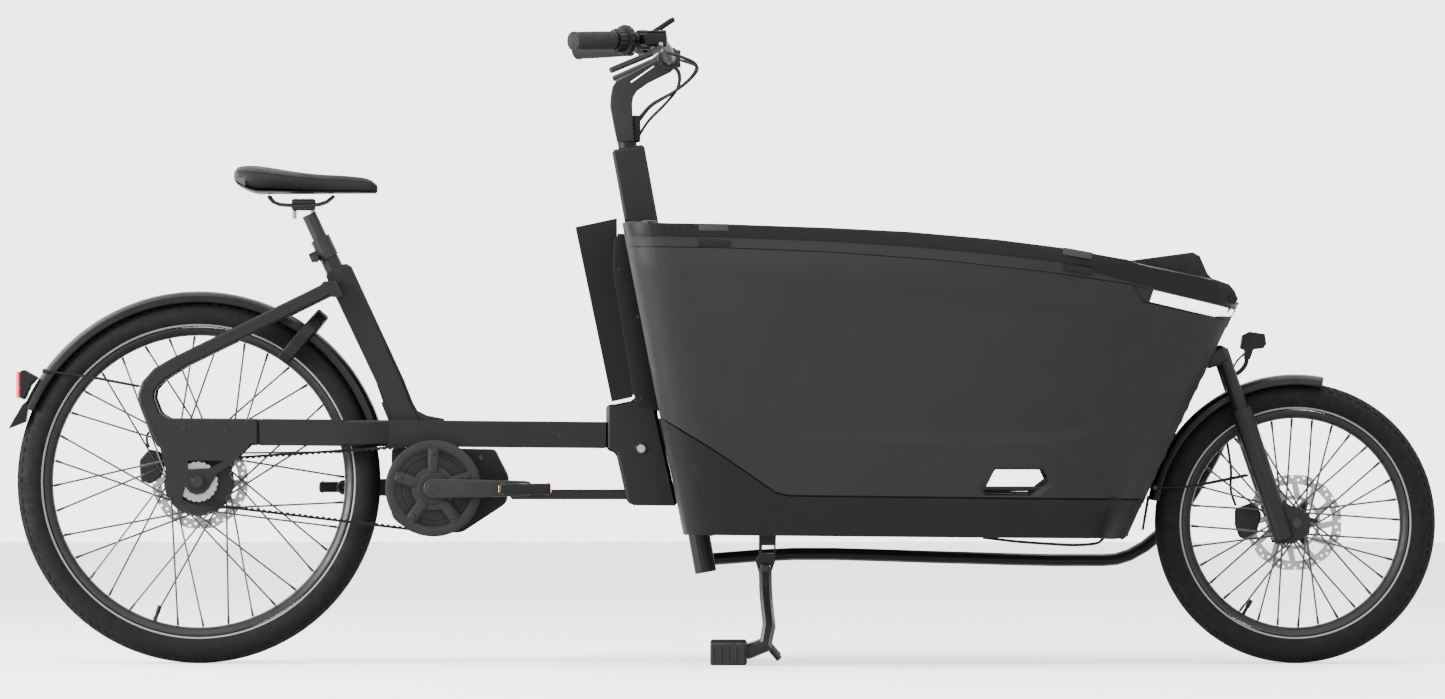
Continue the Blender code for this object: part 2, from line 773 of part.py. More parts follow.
def toothed(name, centre, teeth, hole, y_range):
    """A belt pulley: two points for each tooth and two for each gap."""
    low = pulley_radius(teeth) - BELT_THICKNESS / 2 - 0.0006
    outline = []
    for k in range(teeth):
        for part, radius in ((0.0, low - 0.002), (0.30, low), (0.70, low)):
            a = math.tau * (k + part) / teeth
            outline.append((centre.x + radius * math.cos(a), centre.z + radius * math.sin(a)))
    inner = circle(centre, hole, 20)
    return plate(name, [outline, inner], *y_range)


def hull_of_pulleys(margin):
    """The outline of a belt round both pulleys, margin outside their pitch lines."""
    big = pulley_radius(FRONT_TEETH) + margin
    small = pulley_radius(REAR_TEETH) + margin
    back = REAR_AXLE - CRANK
    lean = math.atan2(back.z, back.x)
    tilt = math.acos((big - small) / back.length)
    front = circle(CRANK, big, 28, lean + tilt, math.tau - 2 * tilt)
    rear = circle(REAR_AXLE, small, 16, lean - tilt, 2 * tilt)
    return front + rear


belt_y = (BELT_Y - BELT_WIDTH / 2, BELT_Y + BELT_WIDTH / 2)
belt_outlines = [hull_of_pulleys(BELT_THICKNESS / 2), hull_of_pulleys(-BELT_THICKNESS / 2)]
put(plate("belt", belt_outlines, *belt_y), TYRE_RUBBER)
put(toothed("front_pulley", CRANK, FRONT_TEETH, 0.060, belt_y), BLACK_METAL)
rear_pulley = toothed("rear_pulley", REAR_AXLE, REAR_TEETH, 0.0075, belt_y)
put(rear_pulley, BARE_STEEL)


def guard_windows():
    """Five openings between five arms."""
    found = []
    for k in range(5):
        middle = math.radians(54 + 72 * k)
        wide = math.radians(50)
        outer = circle(CRANK, 0.068, 5, middle - wide / 2, wide)
        inner = circle(CRANK, 0.038, 3, middle + wide / 2 * 0.8, -wide * 0.8)
        found.append(outer + inner)
    return found


def crank_arm(name, direction, low_y, high_y):
    """A tapering arm with round ends, and a hole for the pedal's axle."""
    tip = CRANK.x + direction * CRANK_LENGTH
    back = math.radians(90 if direction > 0 else -90)
    outline = circle(CRANK, 0.0185, 8, back, math.pi)
    outline += circle((tip, CRANK.z), 0.0140, 8, back + math.pi, math.pi)
    hole = circle((tip, CRANK.z), 0.0052, 8)
    return plate(name, [outline, hole], low_y, high_y)


def crankset():
    """Both arms, their axle, and the spider with its guard."""
    guard = plate("crankset", [circle(CRANK, GUARD_RADIUS, 32)] + guard_windows(),
                  -0.0770, -0.0740)
    carrier = plate("pulley_carrier", [circle(CRANK, 0.0595, 20)], -0.0600, -0.0480)
    hub = disc("spider_hub", CRANK, 0.030, -0.0800, -0.0470, 20)
    near = crank_arm("near_arm", 1, -0.1020, -0.0780)
    far = crank_arm("far_arm", -1, 0.0880, 0.1020)
    axle = disc("crank_axle", CRANK, 0.0125, -0.0950, 0.0950, 16)
    return join(guard, carrier, hub, near, far, axle)


put(crankset(), BLACK_METAL)


def pedal(name, direction, side):
    """A cage of four bars round a barrel, with an axle into the crank arm."""
    x, z = CRANK.x + direction * CRANK_LENGTH, CRANK.z
    centre = Vector((x, side * PEDAL_Y, z))
    frame = block(name, (0.094, 0.090, 0.020), centre, (0, 0, 1), 0.004)
    slots = [
        block(f"{name}_slot", (0.026, 0.066, 0.05), centre + Vector((step * 0.026, 0, 0)))
        for step in (-1, 1)
    ]
    axle = disc(name + "_axle", (x, z), 0.0045, *sorted((side * 0.0900, side * 0.130)), 10)
    return join(cut(frame, *slots), axle)


for name, direction, side in (("pedal_right", 1, -1), ("pedal_left", -1, 1)):
    pedal_axis = axis_empty(name + "_axis", CRANK + Vector((direction * CRANK_LENGTH, 0, 0)),
                            crank_axis)
    made = put(pedal(name, direction, side), BLACK_METAL)
    bpy.context.view_layer.update()
    hang(made, pedal_axis)
for name in ("crankset", "front_pulley"):
    hang(bpy.data.objects[name], crank_axis)
hang(rear_pulley, rear_wheel_axis)


# Battery ------------------------------------------------------------------------------


def battery():
    """A slim pack with a slanted cap, behind the steering column's housing."""
    corners = [(-0.2710, 0.806), (-0.1945, 0.8225), (-0.1945, 0.7425), (-0.1993, 0.7425)]
    corners += [(-0.1985, 0.7285), (-0.1600, 0.5055), (-0.1672, 0.4915)]
    corners += [(-0.1970, 0.4850), (-0.204, 0.4840)]
    pack = plate("battery", [corners], -0.036, 0.036)
    slot = block("latch_slot", (0.046, 0.030, 0.012), (-0.238, 0, 0.8165), (0.2, 0, 1))
    return cut(soften(pack, 0.006), slot)


put(battery(), FRAME_PAINT)


# Cargo box ----------------------------------------------------------------------------


def along(line, x):
    """The height of a line of (x, z) points at x."""
    for (x0, z0), (x1, z1) in zip(line, line[1:]):
        if x <= x1 or (x1, z1) == line[-1]:
            return z0 + (z1 - z0) * (x - x0) / (x1 - x0)
    return line[-1][1]


SEAM = [(-0.118, 0.458), (-0.010, 0.393), (0.100, 0.3165), (0.120, 0.312), (0.777, 0.304)]
SHELL_TOP = [(-0.175, 0.7675), (0.0, 0.765), (0.2, 0.757), (0.4, 0.742), (0.6, 0.720)]
SHELL_TOP += [(0.752, 0.698), (0.766, 0.6665), (0.940, 0.6300)]
RIM_TOP = [(-0.175, 0.812), (0.0, 0.809), (0.2, 0.802), (0.34, 0.795), (0.5, 0.781)]
RIM_TOP += [(0.62, 0.766), (0.752, 0.742), (0.766, 0.734), (0.900, 0.708), (0.947, 0.668)]
SKIRT_LOW = [(-0.072, 0.240), (0.740, 0.232), (0.775, 0.262)]


def box_rear(z):
    return -0.175 + (0.768 - z) * 0.1951


def box_front(z):
    return 0.9340 - (0.630 - z) * 0.477


def half_width(z):
    """The box narrows below its top, and the skirt follows it inward."""
    return 0.195 + (BOX_HALF_WIDTH - 0.195) * min(1.0, max(0.0, (z - 0.235) / 0.500))


def plan(rear, front, half, recess):
    """Half of the box's outline from the column's channel to the head tube's recess."""
    nose = 0.165 + 0.20 * (half - 0.195)
    long = front - rear
    sides = [(0.20, 1.0), (0.42, 1.0), (0.62, 0.975), (0.76, 0.90)]
    sides += [(0.8359, 0.83), (0.8485, 0.815), (0.93, 0.66)]
    points = [(rear + 0.082, 0.0), (rear + 0.082, 0.040), (rear + 0.002, 0.044)]
    points += [(rear, 0.060), (rear, half * 0.70), (rear + 0.008, half * 0.87)]
    points += [(rear + 0.030, half * 0.96), (rear + 0.070, half)]
    points += [(rear + long * share, half * wide) for share, wide in sides]
    points += [(front - 0.020, nose * 0.92), (front - 0.003, nose * 0.72)]
    points.append((front, 0.106))
    if recess:
        points += [(front - 0.008, 0.094), (front - 0.118, 0.080), (front - 0.118, 0.0)]
    else:
        points.append((front + 0.002, 0.0))
    return points


def fill_floor(shape, ring, line):
    """Triangles across a ring of corners, which follow a line of (x, z) points between them."""
    corners = [Vector(vert.co[:2]) for vert in ring]
    inner = [Vector((x, y)) for x, _ in line[1:-1] for y in (-0.10, 0.0, 0.10)]
    loop = [list(range(len(corners)))]
    points, _, triangles, *_ = delaunay_2d_cdt(corners + inner, [], loop, 1, 1e-6)
    verts = list(ring)
    verts += [shape.verts.new((*point, along(line, point.x))) for point in points[len(ring):]]
    for triangle in triangles:
        shape.faces.new([verts[k] for k in triangle])


def wall(name, low, high, levels, floor=False, thickness=SHELL_THICKNESS, only=0, recess=True):
    """A wall round the box between two lines, as an open surface with a thickness.

    only limits it to the stations from that one on.
    """
    rows = []
    for level in range(levels):
        share = level / (levels - 1)
        guess = {"rear": 0.5, "front": 0.5}
        for _ in range(6):
            rear, front = box_rear(guess["rear"]), box_front(guess["front"])
            for end, x in (("rear", rear), ("front", front)):
                guess[end] = along(low, x) + share * (along(high, x) - along(low, x))
        row = []
        middle = 0.5 * (guess["rear"] + guess["front"])
        for x, y in plan(rear, front, half_width(middle), recess)[only:]:
            z = along(low, x) + share * (along(high, x) - along(low, x))
            near = max(-0.03, min(0.03, half_width(z) - half_width(middle)))
            row.append((x, y + near if y > 0.1 else y, z))
        rows.append(row)
    shape = bmesh.new()
    grid = []
    for row in rows:
        last_side = row[:-1] if only else row[1:-1]
        whole = row + mirrored(reversed(last_side))
        grid.append([shape.verts.new(point) for point in whole])
    count = len(grid[0])
    for lower, upper in zip(grid, grid[1:]):
        for k in range(count if not only else count - 1):
            after = (k + 1) % count
            shape.faces.new((lower[k], lower[after], upper[after], upper[k]))
    if floor:
        fill_floor(shape, grid[0], low)
    obj = from_bmesh(name, shape)
    shell = obj.modifiers.new("shell", "SOLIDIFY")
    shell.thickness = thickness
    shell.offset = -1.0
    return obj


def raised(line, by):
    return [(x, z + by) for x, z in line]


STEP = [(0.476, 0.3125), (0.612, 0.3125), (0.590, 0.3595), (0.500, 0.3600)]


def box_shell():
    """The tub, with a foot opening low in each side."""
    shell = wall("box_shell", raised(SEAM, 0.0016), SHELL_TOP, 4, floor=True)
    outline = rounded(STEP, [0.006, 0.006, 0.018, 0.018])
    pockets = [
        plate("step_opening", [outline], *sorted((side * 0.185, side * 0.36)))
        for side in (-1, 1)
    ]
    bench = block("moulded_bench", (0.180, 0.390, 0.128), (0.105, 0, 0.3780))
    hollow = block("bench_hollow", (0.168, 0.378, 0.160), (0.105, 0, 0.3560))
    return cut(join(shell, bench), hollow, *pockets)


put(box_shell(), BOX_PLASTIC)


def box_rim():
    """The dark rim all round the top, with the deck over the nose."""
    low = raised(SHELL_TOP[:5], 0.0012) + [(0.752, 0.6992), (0.947, 0.6548)]
    band = wall("box_rim", low, RIM_TOP, 2, thickness=0.014, recess=False)
    deck = [(0.740, 0.712), (0.742, 0.7425), (0.865, 0.7590), (0.878, 0.752)]
    deck += [(0.892, 0.720), (0.900, 0.711), (0.932, 0.700), (0.942, 0.688)]
    deck += [(0.9495, 0.672), (0.9420, 0.6620), (0.760, 0.7035)]
    cover = plate("nose_deck", [deck], -0.150, 0.150)
    soften(cover, 0.008, 2)
    return join(band, cover)


put(box_rim(), TRIM_PLASTIC)
strip_low = [(0.766, 0.6715), (0.940, 0.6320)]
strip_high = [(0.766, 0.6940), (0.947, 0.6520)]
FIRST_STRIP_STATION = 13
strip = wall("light_strip", strip_low, strip_high, 2, thickness=0.006,
             only=FIRST_STRIP_STATION, recess=False)
put(strip, WHITE_LENS)


def box_skirt():
    """The skirt round the beam, with a way in for the beam and for the housing."""
    skirt = wall("box_skirt", SKIRT_LOW, raised(SEAM, -0.0016), 3, thickness=0.0035)
    ways = [
        block("beam_way", (0.110, 0.064, 0.085), (0.652, 0, 0.2715)),
        block("cheek_way", (0.050, 0.072, 0.110), (0.006, 0, 0.2900)),
    ]
    return cut(skirt, *ways)


put(box_skirt(), SKIRT_PLASTIC)
CUSHION = (0.190, 0.420, 0.055)
put(block("bench_cushion", CUSHION, (0.105, 0, 0.4700), (0, 0, 1), 0.018, 3), CUSHION_FABRIC)


# Centre stand -------------------------------------------------------------------------


def stand_bracket():
    """A channel under the beam, with a window, and the lug the legs turn on."""
    outline = [(0.068, 0.2555), (0.068, 0.198), (0.062, 0.188), (0.068, 0.166)]
    outline += [(0.090, 0.164), (0.098, 0.188), (0.101, 0.2555)]
    window = [(0.074, 0.218), (0.074, 0.203), (0.096, 0.203), (0.096, 0.218)]
    plates = plate("stand_bracket", [outline, window], -0.020, 0.020)
    return cut(plates, disc("stand_bore", STAND_PIVOT, 0.0096, -0.04, 0.04, 12))


put(stand_bracket(), BLACK_METAL)
LEG_FOOT_Y = 0.150


def stand_legs():
    """Two legs from one cross tube, bent back into feet."""
    cross = rod("stand_legs", (0.080, -0.040, 0.176), (0.080, 0.040, 0.176), 0.009, 12)
    pieces = []
    for side in (-1, 1):
        shoulder = (0.080, side * 0.0295, 0.176)
        path = [shoulder, (0.081, side * 0.050, 0.128), (0.087, side * 0.105, 0.070)]
        path += [(0.080, side * 0.140, 0.034), (0.050, side * LEG_FOOT_Y, 0.0225)]
        path += [(-0.021, side * LEG_FOOT_Y, 0.0225)]
        leg = curved(path[:3], 5) + curved(path[3:5], 1) + [path[5]]
        pieces.append(as_mesh(tube("stand_leg", leg, LEG_RADIUS - 0.002, 1)))
        prong = rod("stand_prong", (0.080, side * 0.120, 0.040), (0.106, side * 0.120, 0.010),
                    0.006, 8)
        pieces.append(prong)
    return join(cross, *pieces)


legs = put(stand_legs(), BLACK_METAL)
hang(legs, stand_axis)
for name, side in (("stand_pad_left", 1), ("stand_pad_right", -1)):
    pad = block(name, (0.068, 0.036, 0.040), (0.012, side * LEG_FOOT_Y, 0.0200),
                (0, 0, 1), 0.003)
    bore = rod(name + "_bore", (-0.10, side * LEG_FOOT_Y, 0.0225),
               (0.06, side * LEG_FOOT_Y, 0.0225), LEG_RADIUS - 0.0012, 12)
    hang(put(cut(pad, bore), SOFT_RUBBER), stand_axis)


# Steering -----------------------------------------------------------------------------


def on_column(z, ahead=0.0, y=0.0):
    """A point at a height on the column's axis, or ahead of it."""
    lift = (z - COLUMN_LOW.z) / COLUMN_UP.z
    point = COLUMN_LOW + lift * COLUMN_UP
    return point + Vector((ahead, y, 0))


def steering_column():
    """A rectangular tube with its bottom arm, which pushes the steering rod."""
    low, middle, high = on_column(0.248), on_column(0.8030), on_column(0.9540)
    column = block("steering_column", (0.061, 0.044, (high - middle).length),
                   (middle + high) / 2, COLUMN_UP, 0.005)
    hidden = rod("column_inside", low, on_column(0.8080), 0.0240, 20)
    foot = rod("column_foot", on_column(0.168), on_column(0.252), 0.020, 16)
    arm = block("column_arm", (0.026, ARM_Y, 0.014), on_column(0.2080, 0, ARM_Y / 2), COLUMN_UP,
                0.003)
    return join(column, hidden, foot, arm)


def stem():
    """The column's head, the arm forward and the handlebar's clamp, with a slit."""
    side = [(-0.2065, 1.062), (-0.2075, 1.030), (-0.200, 0.990), (-0.1935, 0.9560)]
    side += [(-0.1500, 0.9600), (-0.1620, 1.000), (-0.1650, 1.040), (-0.098, 1.088)]
    side += [(-0.084, 1.100), (-0.086, 1.122), (-0.110, 1.122), (-0.198, 1.076)]
    slit = [(-0.170, 1.0690), (-0.160, 1.0640), (-0.124, 1.0920), (-0.126, 1.1020)]
    made = plate("stem", [side, slit], -0.019, 0.019)
    bore = disc("clamp_bore", BAR_CENTRE, BAR_RADIUS + 0.0006, -0.05, 0.05, 16)
    clamp = disc("bar_clamp", BAR_CENTRE, 0.0215, -0.026, 0.026, 20)
    return cut(join(made, clamp), bore)


BAR_RADIUS = 0.0125
BAR_CENTRE = Vector((-0.098, 0.0, 1.118))
BAR_BEND_Y = 0.110
GRIP_START = Vector((-0.168, 0.245, 1.146))
GRIP_END = Vector((-0.272, 0.335, 1.142))
STRAIGHT_FROM = -0.38  # as a share of the grip's length


def grip_point(share, side):
    point = GRIP_START.lerp(GRIP_END, share)
    return Vector((point.x, side * point.y, point.z))


def handlebar():
    """Straight in the clamp and under each grip, and bent between."""
    bend = [(-0.098, 0.028, 1.118), (-0.098, 0.060, 1.119), (-0.103, BAR_BEND_Y, 1.131)]
    bend += [(-0.115, 0.165, 1.143), tuple(grip_point(STRAIGHT_FROM, 1))]
    half = curved(bend, 12) + [grip_point(0.94, 1)]
    path = mirrored(reversed(half)) + half
    return as_mesh(tube("handlebar", path, BAR_RADIUS, 2))


def grip(name, side, start):
    """A round rubber grip, thicker at its end."""
    a, b = grip_point(start, side), grip_point(1.0, side)
    along_bar = (b - a).normalized()
    outside = rod(name, a, b, 0.0165, 16, 0.0180)
    bore = rod(name + "_bore", a - 0.01 * along_bar, b - 0.006 * along_bar, 0.0131, 16)
    return cut(outside, bore)


def brake(side, name):
    """The clamp with its reservoir, and the lever's blade on its own pin."""
    centre = grip_point(-0.22, side)
    along_bar = (grip_point(1, side) - grip_point(0, side)).normalized()
    clamp = rod(f"brake_reservoir_{name}", centre - 0.009 * along_bar, centre
                + 0.009 * along_bar, 0.0185, 16)
    bore = rod("brake_bore", centre - 0.03 * along_bar, centre + 0.03 * along_bar, 0.0131, 16)
    forward = Vector((-along_bar.y, along_bar.x, 0)).normalized()
    forward = forward if forward.x > 0 else -forward
    tank = block("tank", (0.024, 0.052, 0.026), centre + 0.030 * forward
                 + Vector((0, 0, 0.004)), (0, 0, 1), 0.004)
    tank.matrix_world = (
        Matrix.Translation(centre + 0.030 * forward)
        @ Matrix.Rotation(math.atan2(along_bar.y, along_bar.x) - math.pi / 2, 4, "Z")
    )
    put(cut(join(clamp, tank), bore), BLACK_METAL)
    pin = centre + 0.050 * forward + Vector((0, 0, -0.014))
    axis = axis_empty(f"brake_lever_{name}_axis", pin)
    tip = grip_point(0.62, side) + 0.045 * forward + Vector((0, 0, -0.055))
    knee = pin + 0.030 * along_bar + 0.008 * forward + Vector((0, 0, -0.012))
    blade = as_mesh(tube(f"brake_lever_{name}", [pin, knee, tip], 0.0058, 1))
    hang(put(blade, BLACK_METAL), axis)
    hang(bpy.data.objects[f"brake_reservoir_{name}"], column_axis)
    hang(axis, column_axis)
    return pin


put(steering_column(), FRAME_PAINT)
put(stem(), BLACK_METAL)
put(handlebar(), BLACK_METAL)
put(grip("grip_left", 1, 0.02), SOFT_RUBBER)
put(grip("grip_right", -1, 0.30), SOFT_RUBBER)
for side, name in ((1, "left"), (-1, "right")):
    brake(side, name)


def twist_shifter():
    """A barrel that turns on the bar, inboard of the right grip."""
    a, b = grip_point(0.03, -1), grip_point(0.285, -1)
    barrel = rod("twist_shifter", a, b, 0.0225, 20)
    along_bar = (b - a).normalized()
    bore = rod("shifter_bore", a - 0.01 * along_bar, b + 0.01 * along_bar, 0.0131, 16)
    return cut(barrel, bore)


put(twist_shifter(), TRIM_PLASTIC)
DISPLAY_CENTRE = Vector((-0.113, 0.0, 1.1750))
screen = block("display", (0.060, 0.048, 0.0085), DISPLAY_CENTRE, (-0.55, 0, 0.82), 0.002)
foot = block("display_foot", (0.022, 0.020, 0.030), (-0.1140, 0, 1.1560), (0, 0, 1), 0.002)
put(join(screen, foot), TRIM_PLASTIC)

# Steering rod and fork ----------------------------------------------------------------

ROD_RADIUS = 0.0115
ROD_START = on_column(0.2080, 0, ARM_Y) + Vector((0, 0, -0.0195))
ROD_END = Vector((0.945, ARM_Y, 0.4650))
rod_knots = [ROD_START, (0.150, 0.125, 0.200), (0.420, 0.140, 0.193), (0.660, 0.165, 0.1875)]
rod_knots += [(0.760, 0.180, 0.197), (0.845, 0.187, 0.265), (0.905, 0.172, 0.360)]
rod_knots += [(0.935, 0.135, 0.425), ROD_END]
steering_rod = as_mesh(tube("steering_rod", curved(rod_knots, 26), ROD_RADIUS, 2))
rod_axis = axis_empty("rod_axis", ROD_START)
put(steering_rod, BLACK_METAL)


def on_fork(up, ahead=0.0, y=0.0):
    """A point up the fork legs' axis, and ahead of it."""
    return FORK_POINT + up * FORK_UP - ahead * FORK_BACK + Vector((0, y, 0))


def fork_crown():
    """The steerer, the crown, both stanchions and the arm that the rod turns."""
    low, high = STEER_POINT + FORK_UP * 0.1900, STEER_POINT + FORK_UP * 0.3050
    steerer = rod("fork_crown", low, high, 0.0150, 16)
    crown = block("crown", (0.046, 0.164, 0.034), on_fork(0.191, -0.014), FORK_UP, 0.006)
    stanchions = []
    for side in (-1, 1):
        stanchions.append(rod("stanchion", on_fork(-0.030, 0, side * LEG_Y),
                              on_fork(0.200, 0, side * LEG_Y), 0.0135, 14))
    arm = block("fork_arm", (0.022, 0.066, 0.012), on_fork(0.1050, 0, 0.100), FORK_UP, 0.003)
    return join(steerer, crown, *stanchions, arm)


def fork_lowers():
    """Two sleeves on the stanchions, their dropouts and the axle between them."""
    pieces = []
    for side in (-1, 1):
        pieces.append(rod("fork_lower", on_fork(-0.168, 0, side * LEG_Y),
                          on_fork(0.085, 0, side * LEG_Y), 0.0180, 16, 0.0195))
        tab = [(1.034, 0.300), (1.062, 0.286), (1.084, 0.270), (1.084, 0.242)]
        tab += [(1.055, 0.222), (1.020, 0.222), (0.996, 0.300)]
        tab_y = sorted((side * 0.0585, side * 0.0680))
        pieces.append(plate("dropout_tab", [tab], *tab_y))
    bores = [
        rod("fork_bore", on_fork(-0.060, 0, side * LEG_Y), on_fork(0.12, 0, side * LEG_Y),
            0.0139, 14)
        for side in (-1, 1)
    ]
    axle = disc("front_thru_axle", FRONT_AXLE, AXLE_RADIUS, -0.064, 0.064, 12)
    body = pieces.pop(0)
    body.name = "fork_lowers"
    return cut(join(body, axle, *pieces), *bores)


def front_fender():
    guard = fender("front_fender", FRONT_AXLE, 0.2748, 0.018, 0.0340,
                   math.radians(79), math.radians(92), 12)
    flap = [(0.7870, 0.310), (0.7760, 0.246), (0.7795, 0.246), (0.7905, 0.308)]
    flap = plate("front_mudflap", [flap], -0.026, 0.026)
    rods = []
    for side in (-1, 1):
        points = [(0.800, side * 0.0335, 0.325), (0.862, side * 0.0395, 0.327)]
        points += [(0.925, side * 0.0435, 0.338), (0.9720, side * 0.0460, 0.348)]
        rods.append(as_mesh(tube("front_stay", points, 0.0022, 1)))
    return join(guard, flap, *rods)


put(fork_crown(), BLACK_METAL)
put(fork_lowers(), BLACK_METAL)
put(front_fender(), TRIM_PLASTIC)


def caliper(name, outline, inner_y, outer_y, hose):
    """A caliper with a slot over the rotor, and a stub for its hose."""
    body = soften(plate(name, [outline], inner_y, outer_y), 0.003)
    slot = (ROTOR_Y - 0.0010, ROTOR_Y + ROTOR_THICKNESS + 0.0010)
    axle = REAR_AXLE if hose == "rear" else FRONT_AXLE
    return cut(body, disc(name + "_slot", axle, ROTOR_RADIUS + 0.001, *slot, 40))


front_outline = [(0.950, 0.285), (0.985, 0.298), (1.000, 0.275), (0.992, 0.245), (0.975, 0.226)]
front_outline += [(0.958, 0.232), (0.950, 0.255)]
rear_outline = [(-1.062, 0.3955), (-1.040, 0.3905), (-1.033, 0.370), (-1.038, 0.345)]
rear_outline += [(-1.060, 0.330), (-1.078, 0.338), (-1.080, 0.375)]
put(caliper("front_caliper", front_outline, 0.0365, 0.0466, "front"), BLACK_METAL)
put(caliper("rear_caliper", rear_outline, 0.0365, 0.0580, "rear"), BLACK_METAL)
lamp = [(0.958, 0.582), (0.962, 0.606), (0.975, 0.613), (1.003, 0.609), (1.006, 0.590)]
lamp += [(1.000, 0.582), (0.982, 0.580), (0.976, 0.562), (0.966, 0.562), (0.966, 0.579)]
lamp_body = soften(plate("headlight", [lamp], -0.026, 0.026), 0.003)
put(lamp_body, TRIM_PLASTIC)

# Hoses and cables ---------------------------------------------------------------------

HOSE_RADIUS = 0.0025


def hose(name, knots, count, parent):
    made = put(as_mesh(tube(name, curved(knots, count), HOSE_RADIUS, 2)), SOFT_RUBBER)
    bpy.context.view_layer.update()
    if parent:
        hang(made, parent)


REAR_HOSE = [(-1.0620, 0.047, 0.3985), (-1.066, 0.0470, 0.410), (-1.0640, 0.0445, 0.424)]
REAR_HOSE += [(-1.0520, 0.0430, 0.4300), (-1.0380, 0.0430, 0.428), (-1.0180, 0.0430, 0.4270)]
FRONT_HOSE = [(0.9520, 0.0435, 0.2905), (0.9430, 0.046, 0.320), (0.944, 0.060, 0.355)]
FRONT_HOSE += [(0.9400, 0.070, 0.390), (0.9350, 0.0760, 0.420)]
BAR_HOSE = [(-0.0985, 0.200, 1.125), (-0.070, 0.170, 1.117), (-0.046, 0.120, 1.105)]
BAR_HOSE += [(-0.056, 0.070, 1.085), (-0.085, 0.030, 1.060), (-0.128, 0.006, 1.035)]
BAR_HOSE += [(-0.150, 0.003, 1.012), (-0.1585, 0.003, 0.998)]
hose("rear_brake_hose", REAR_HOSE, 14, None)
hose("front_brake_hose", FRONT_HOSE, 14, slider_axis)
hose("bar_hose", BAR_HOSE, 26, column_axis)

bpy.context.view_layer.update()
for name in ("steering_column", "stem", "handlebar", "grip_left", "grip_right",
             "twist_shifter", "display"):
    hang(bpy.data.objects[name], column_axis)
for name in ("fork_crown", "headlight"):
    hang(bpy.data.objects[name], fork_axis)
for name in ("fork_lowers", "front_fender", "front_caliper"):
    hang(bpy.data.objects[name], slider_axis)
hang(steering_rod, rod_axis)
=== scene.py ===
"""The looks of the cargo bicycle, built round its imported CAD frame.

+X forward, +Y to the rider's left, +Z up, in metres. The CAD boxes and joints give every place.
"""

import json
import math

import bmesh
import bpy
import numpy as np
from mathutils import Matrix, Vector
from mathutils.geometry import delaunay_2d_cdt


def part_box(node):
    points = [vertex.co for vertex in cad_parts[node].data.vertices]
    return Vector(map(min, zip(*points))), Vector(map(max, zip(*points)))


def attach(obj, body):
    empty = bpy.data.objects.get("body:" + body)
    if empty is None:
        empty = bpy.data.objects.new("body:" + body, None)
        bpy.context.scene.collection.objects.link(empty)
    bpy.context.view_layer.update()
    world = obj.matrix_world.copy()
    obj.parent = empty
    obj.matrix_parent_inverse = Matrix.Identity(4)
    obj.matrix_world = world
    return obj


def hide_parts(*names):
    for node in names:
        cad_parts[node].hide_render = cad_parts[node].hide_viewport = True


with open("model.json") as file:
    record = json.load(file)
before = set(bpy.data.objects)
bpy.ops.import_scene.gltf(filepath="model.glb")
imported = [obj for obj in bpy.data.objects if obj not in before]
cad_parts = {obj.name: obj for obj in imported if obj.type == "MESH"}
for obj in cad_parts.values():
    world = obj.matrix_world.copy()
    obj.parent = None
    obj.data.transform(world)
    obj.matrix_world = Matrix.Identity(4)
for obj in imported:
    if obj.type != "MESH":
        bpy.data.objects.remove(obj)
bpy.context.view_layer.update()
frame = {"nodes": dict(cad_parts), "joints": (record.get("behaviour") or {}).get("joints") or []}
JOINTS = {joint["name"]: joint for joint in frame["joints"]}

# Places taken from the frame
REAR_AXLE = Vector(JOINTS["rear_wheel_spin"]["pos_m"])
FRONT_AXLE = Vector(JOINTS["front_wheel_spin"]["pos_m"])
CRANK = Vector(JOINTS["crank_spin"]["pos_m"])
REAR_RADIUS = REAR_AXLE.z
FRONT_RADIUS = FRONT_AXLE.z
COLUMN_UP = Vector(JOINTS["steering_turn"]["axis"])
BELT_LOW, BELT_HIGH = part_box("belt")
SHELL_LOW, SHELL_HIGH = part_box("box_shell")
BOX_HALF_WIDTH = SHELL_HIGH.y

# The main view: a long lens from the right, level with the middle of the bicycle
VIEW_WIDTH = 2.673
LENS = 300.0
SENSOR = 36.0
VIEW_CENTRE = Vector((0.0008, 0.0, 0.580))


# Camera and light -------------------------------------------------------------------


def camera():
    data = bpy.data.cameras.new("camera")
    data.lens = LENS
    data.sensor_width = SENSOR
    data.clip_end = 200.0
    obj = bpy.data.objects.new("camera", data)
    away = VIEW_WIDTH * LENS / SENSOR
    obj.location = VIEW_CENTRE + Vector((0.0, -away, 0.0))
    obj.rotation_euler = (math.radians(90), 0.0, 0.0)
    bpy.context.scene.collection.objects.link(obj)
    bpy.context.scene.camera = obj


def soft_light(name, place, aim, size, power):
    data = bpy.data.lights.new(name, "AREA")
    data.shape = "RECTANGLE"
    data.size, data.size_y = size
    data.energy = power
    obj = bpy.data.objects.new(name, data)
    obj.location = place
    look = Vector(aim) - Vector(place)
    obj.rotation_euler = look.to_track_quat("-Z", "Y").to_euler()
    bpy.context.scene.collection.objects.link(obj)


def world_light(grey, strength):
    world = bpy.data.worlds.new("studio")
    world.use_nodes = True
    background = world.node_tree.nodes["Background"]
    background.inputs["Color"].default_value = (grey, grey, grey, 1.0)
    background.inputs["Strength"].default_value = strength
    bpy.context.scene.world = world


camera()
world_light(1.0, 4.0)
soft_light("overhead", (0.2, -0.8, 4.2), (0.0, 0.0, 0.4), (5.5, 3.0), 330.0)
soft_light("front_side", (1.8, -4.5, 2.6), (0.2, 0.0, 0.5), (3.0, 2.2), 170.0)
soft_light("rear_side", (-5.0, -1.9, 1.5), (-0.2, -0.1, 0.6), (1.6, 2.2), 1300.0)
soft_light("rear_rim", (-3.2, 2.6, 2.4), (-0.4, 0.0, 0.5), (2.0, 2.0), 90.0)


# Materials --------------------------------------------------------------------------


SPECULAR = 0.10  # low, so that dark pieces stay dark under a bright world
BEVEL_SAMPLES = 4


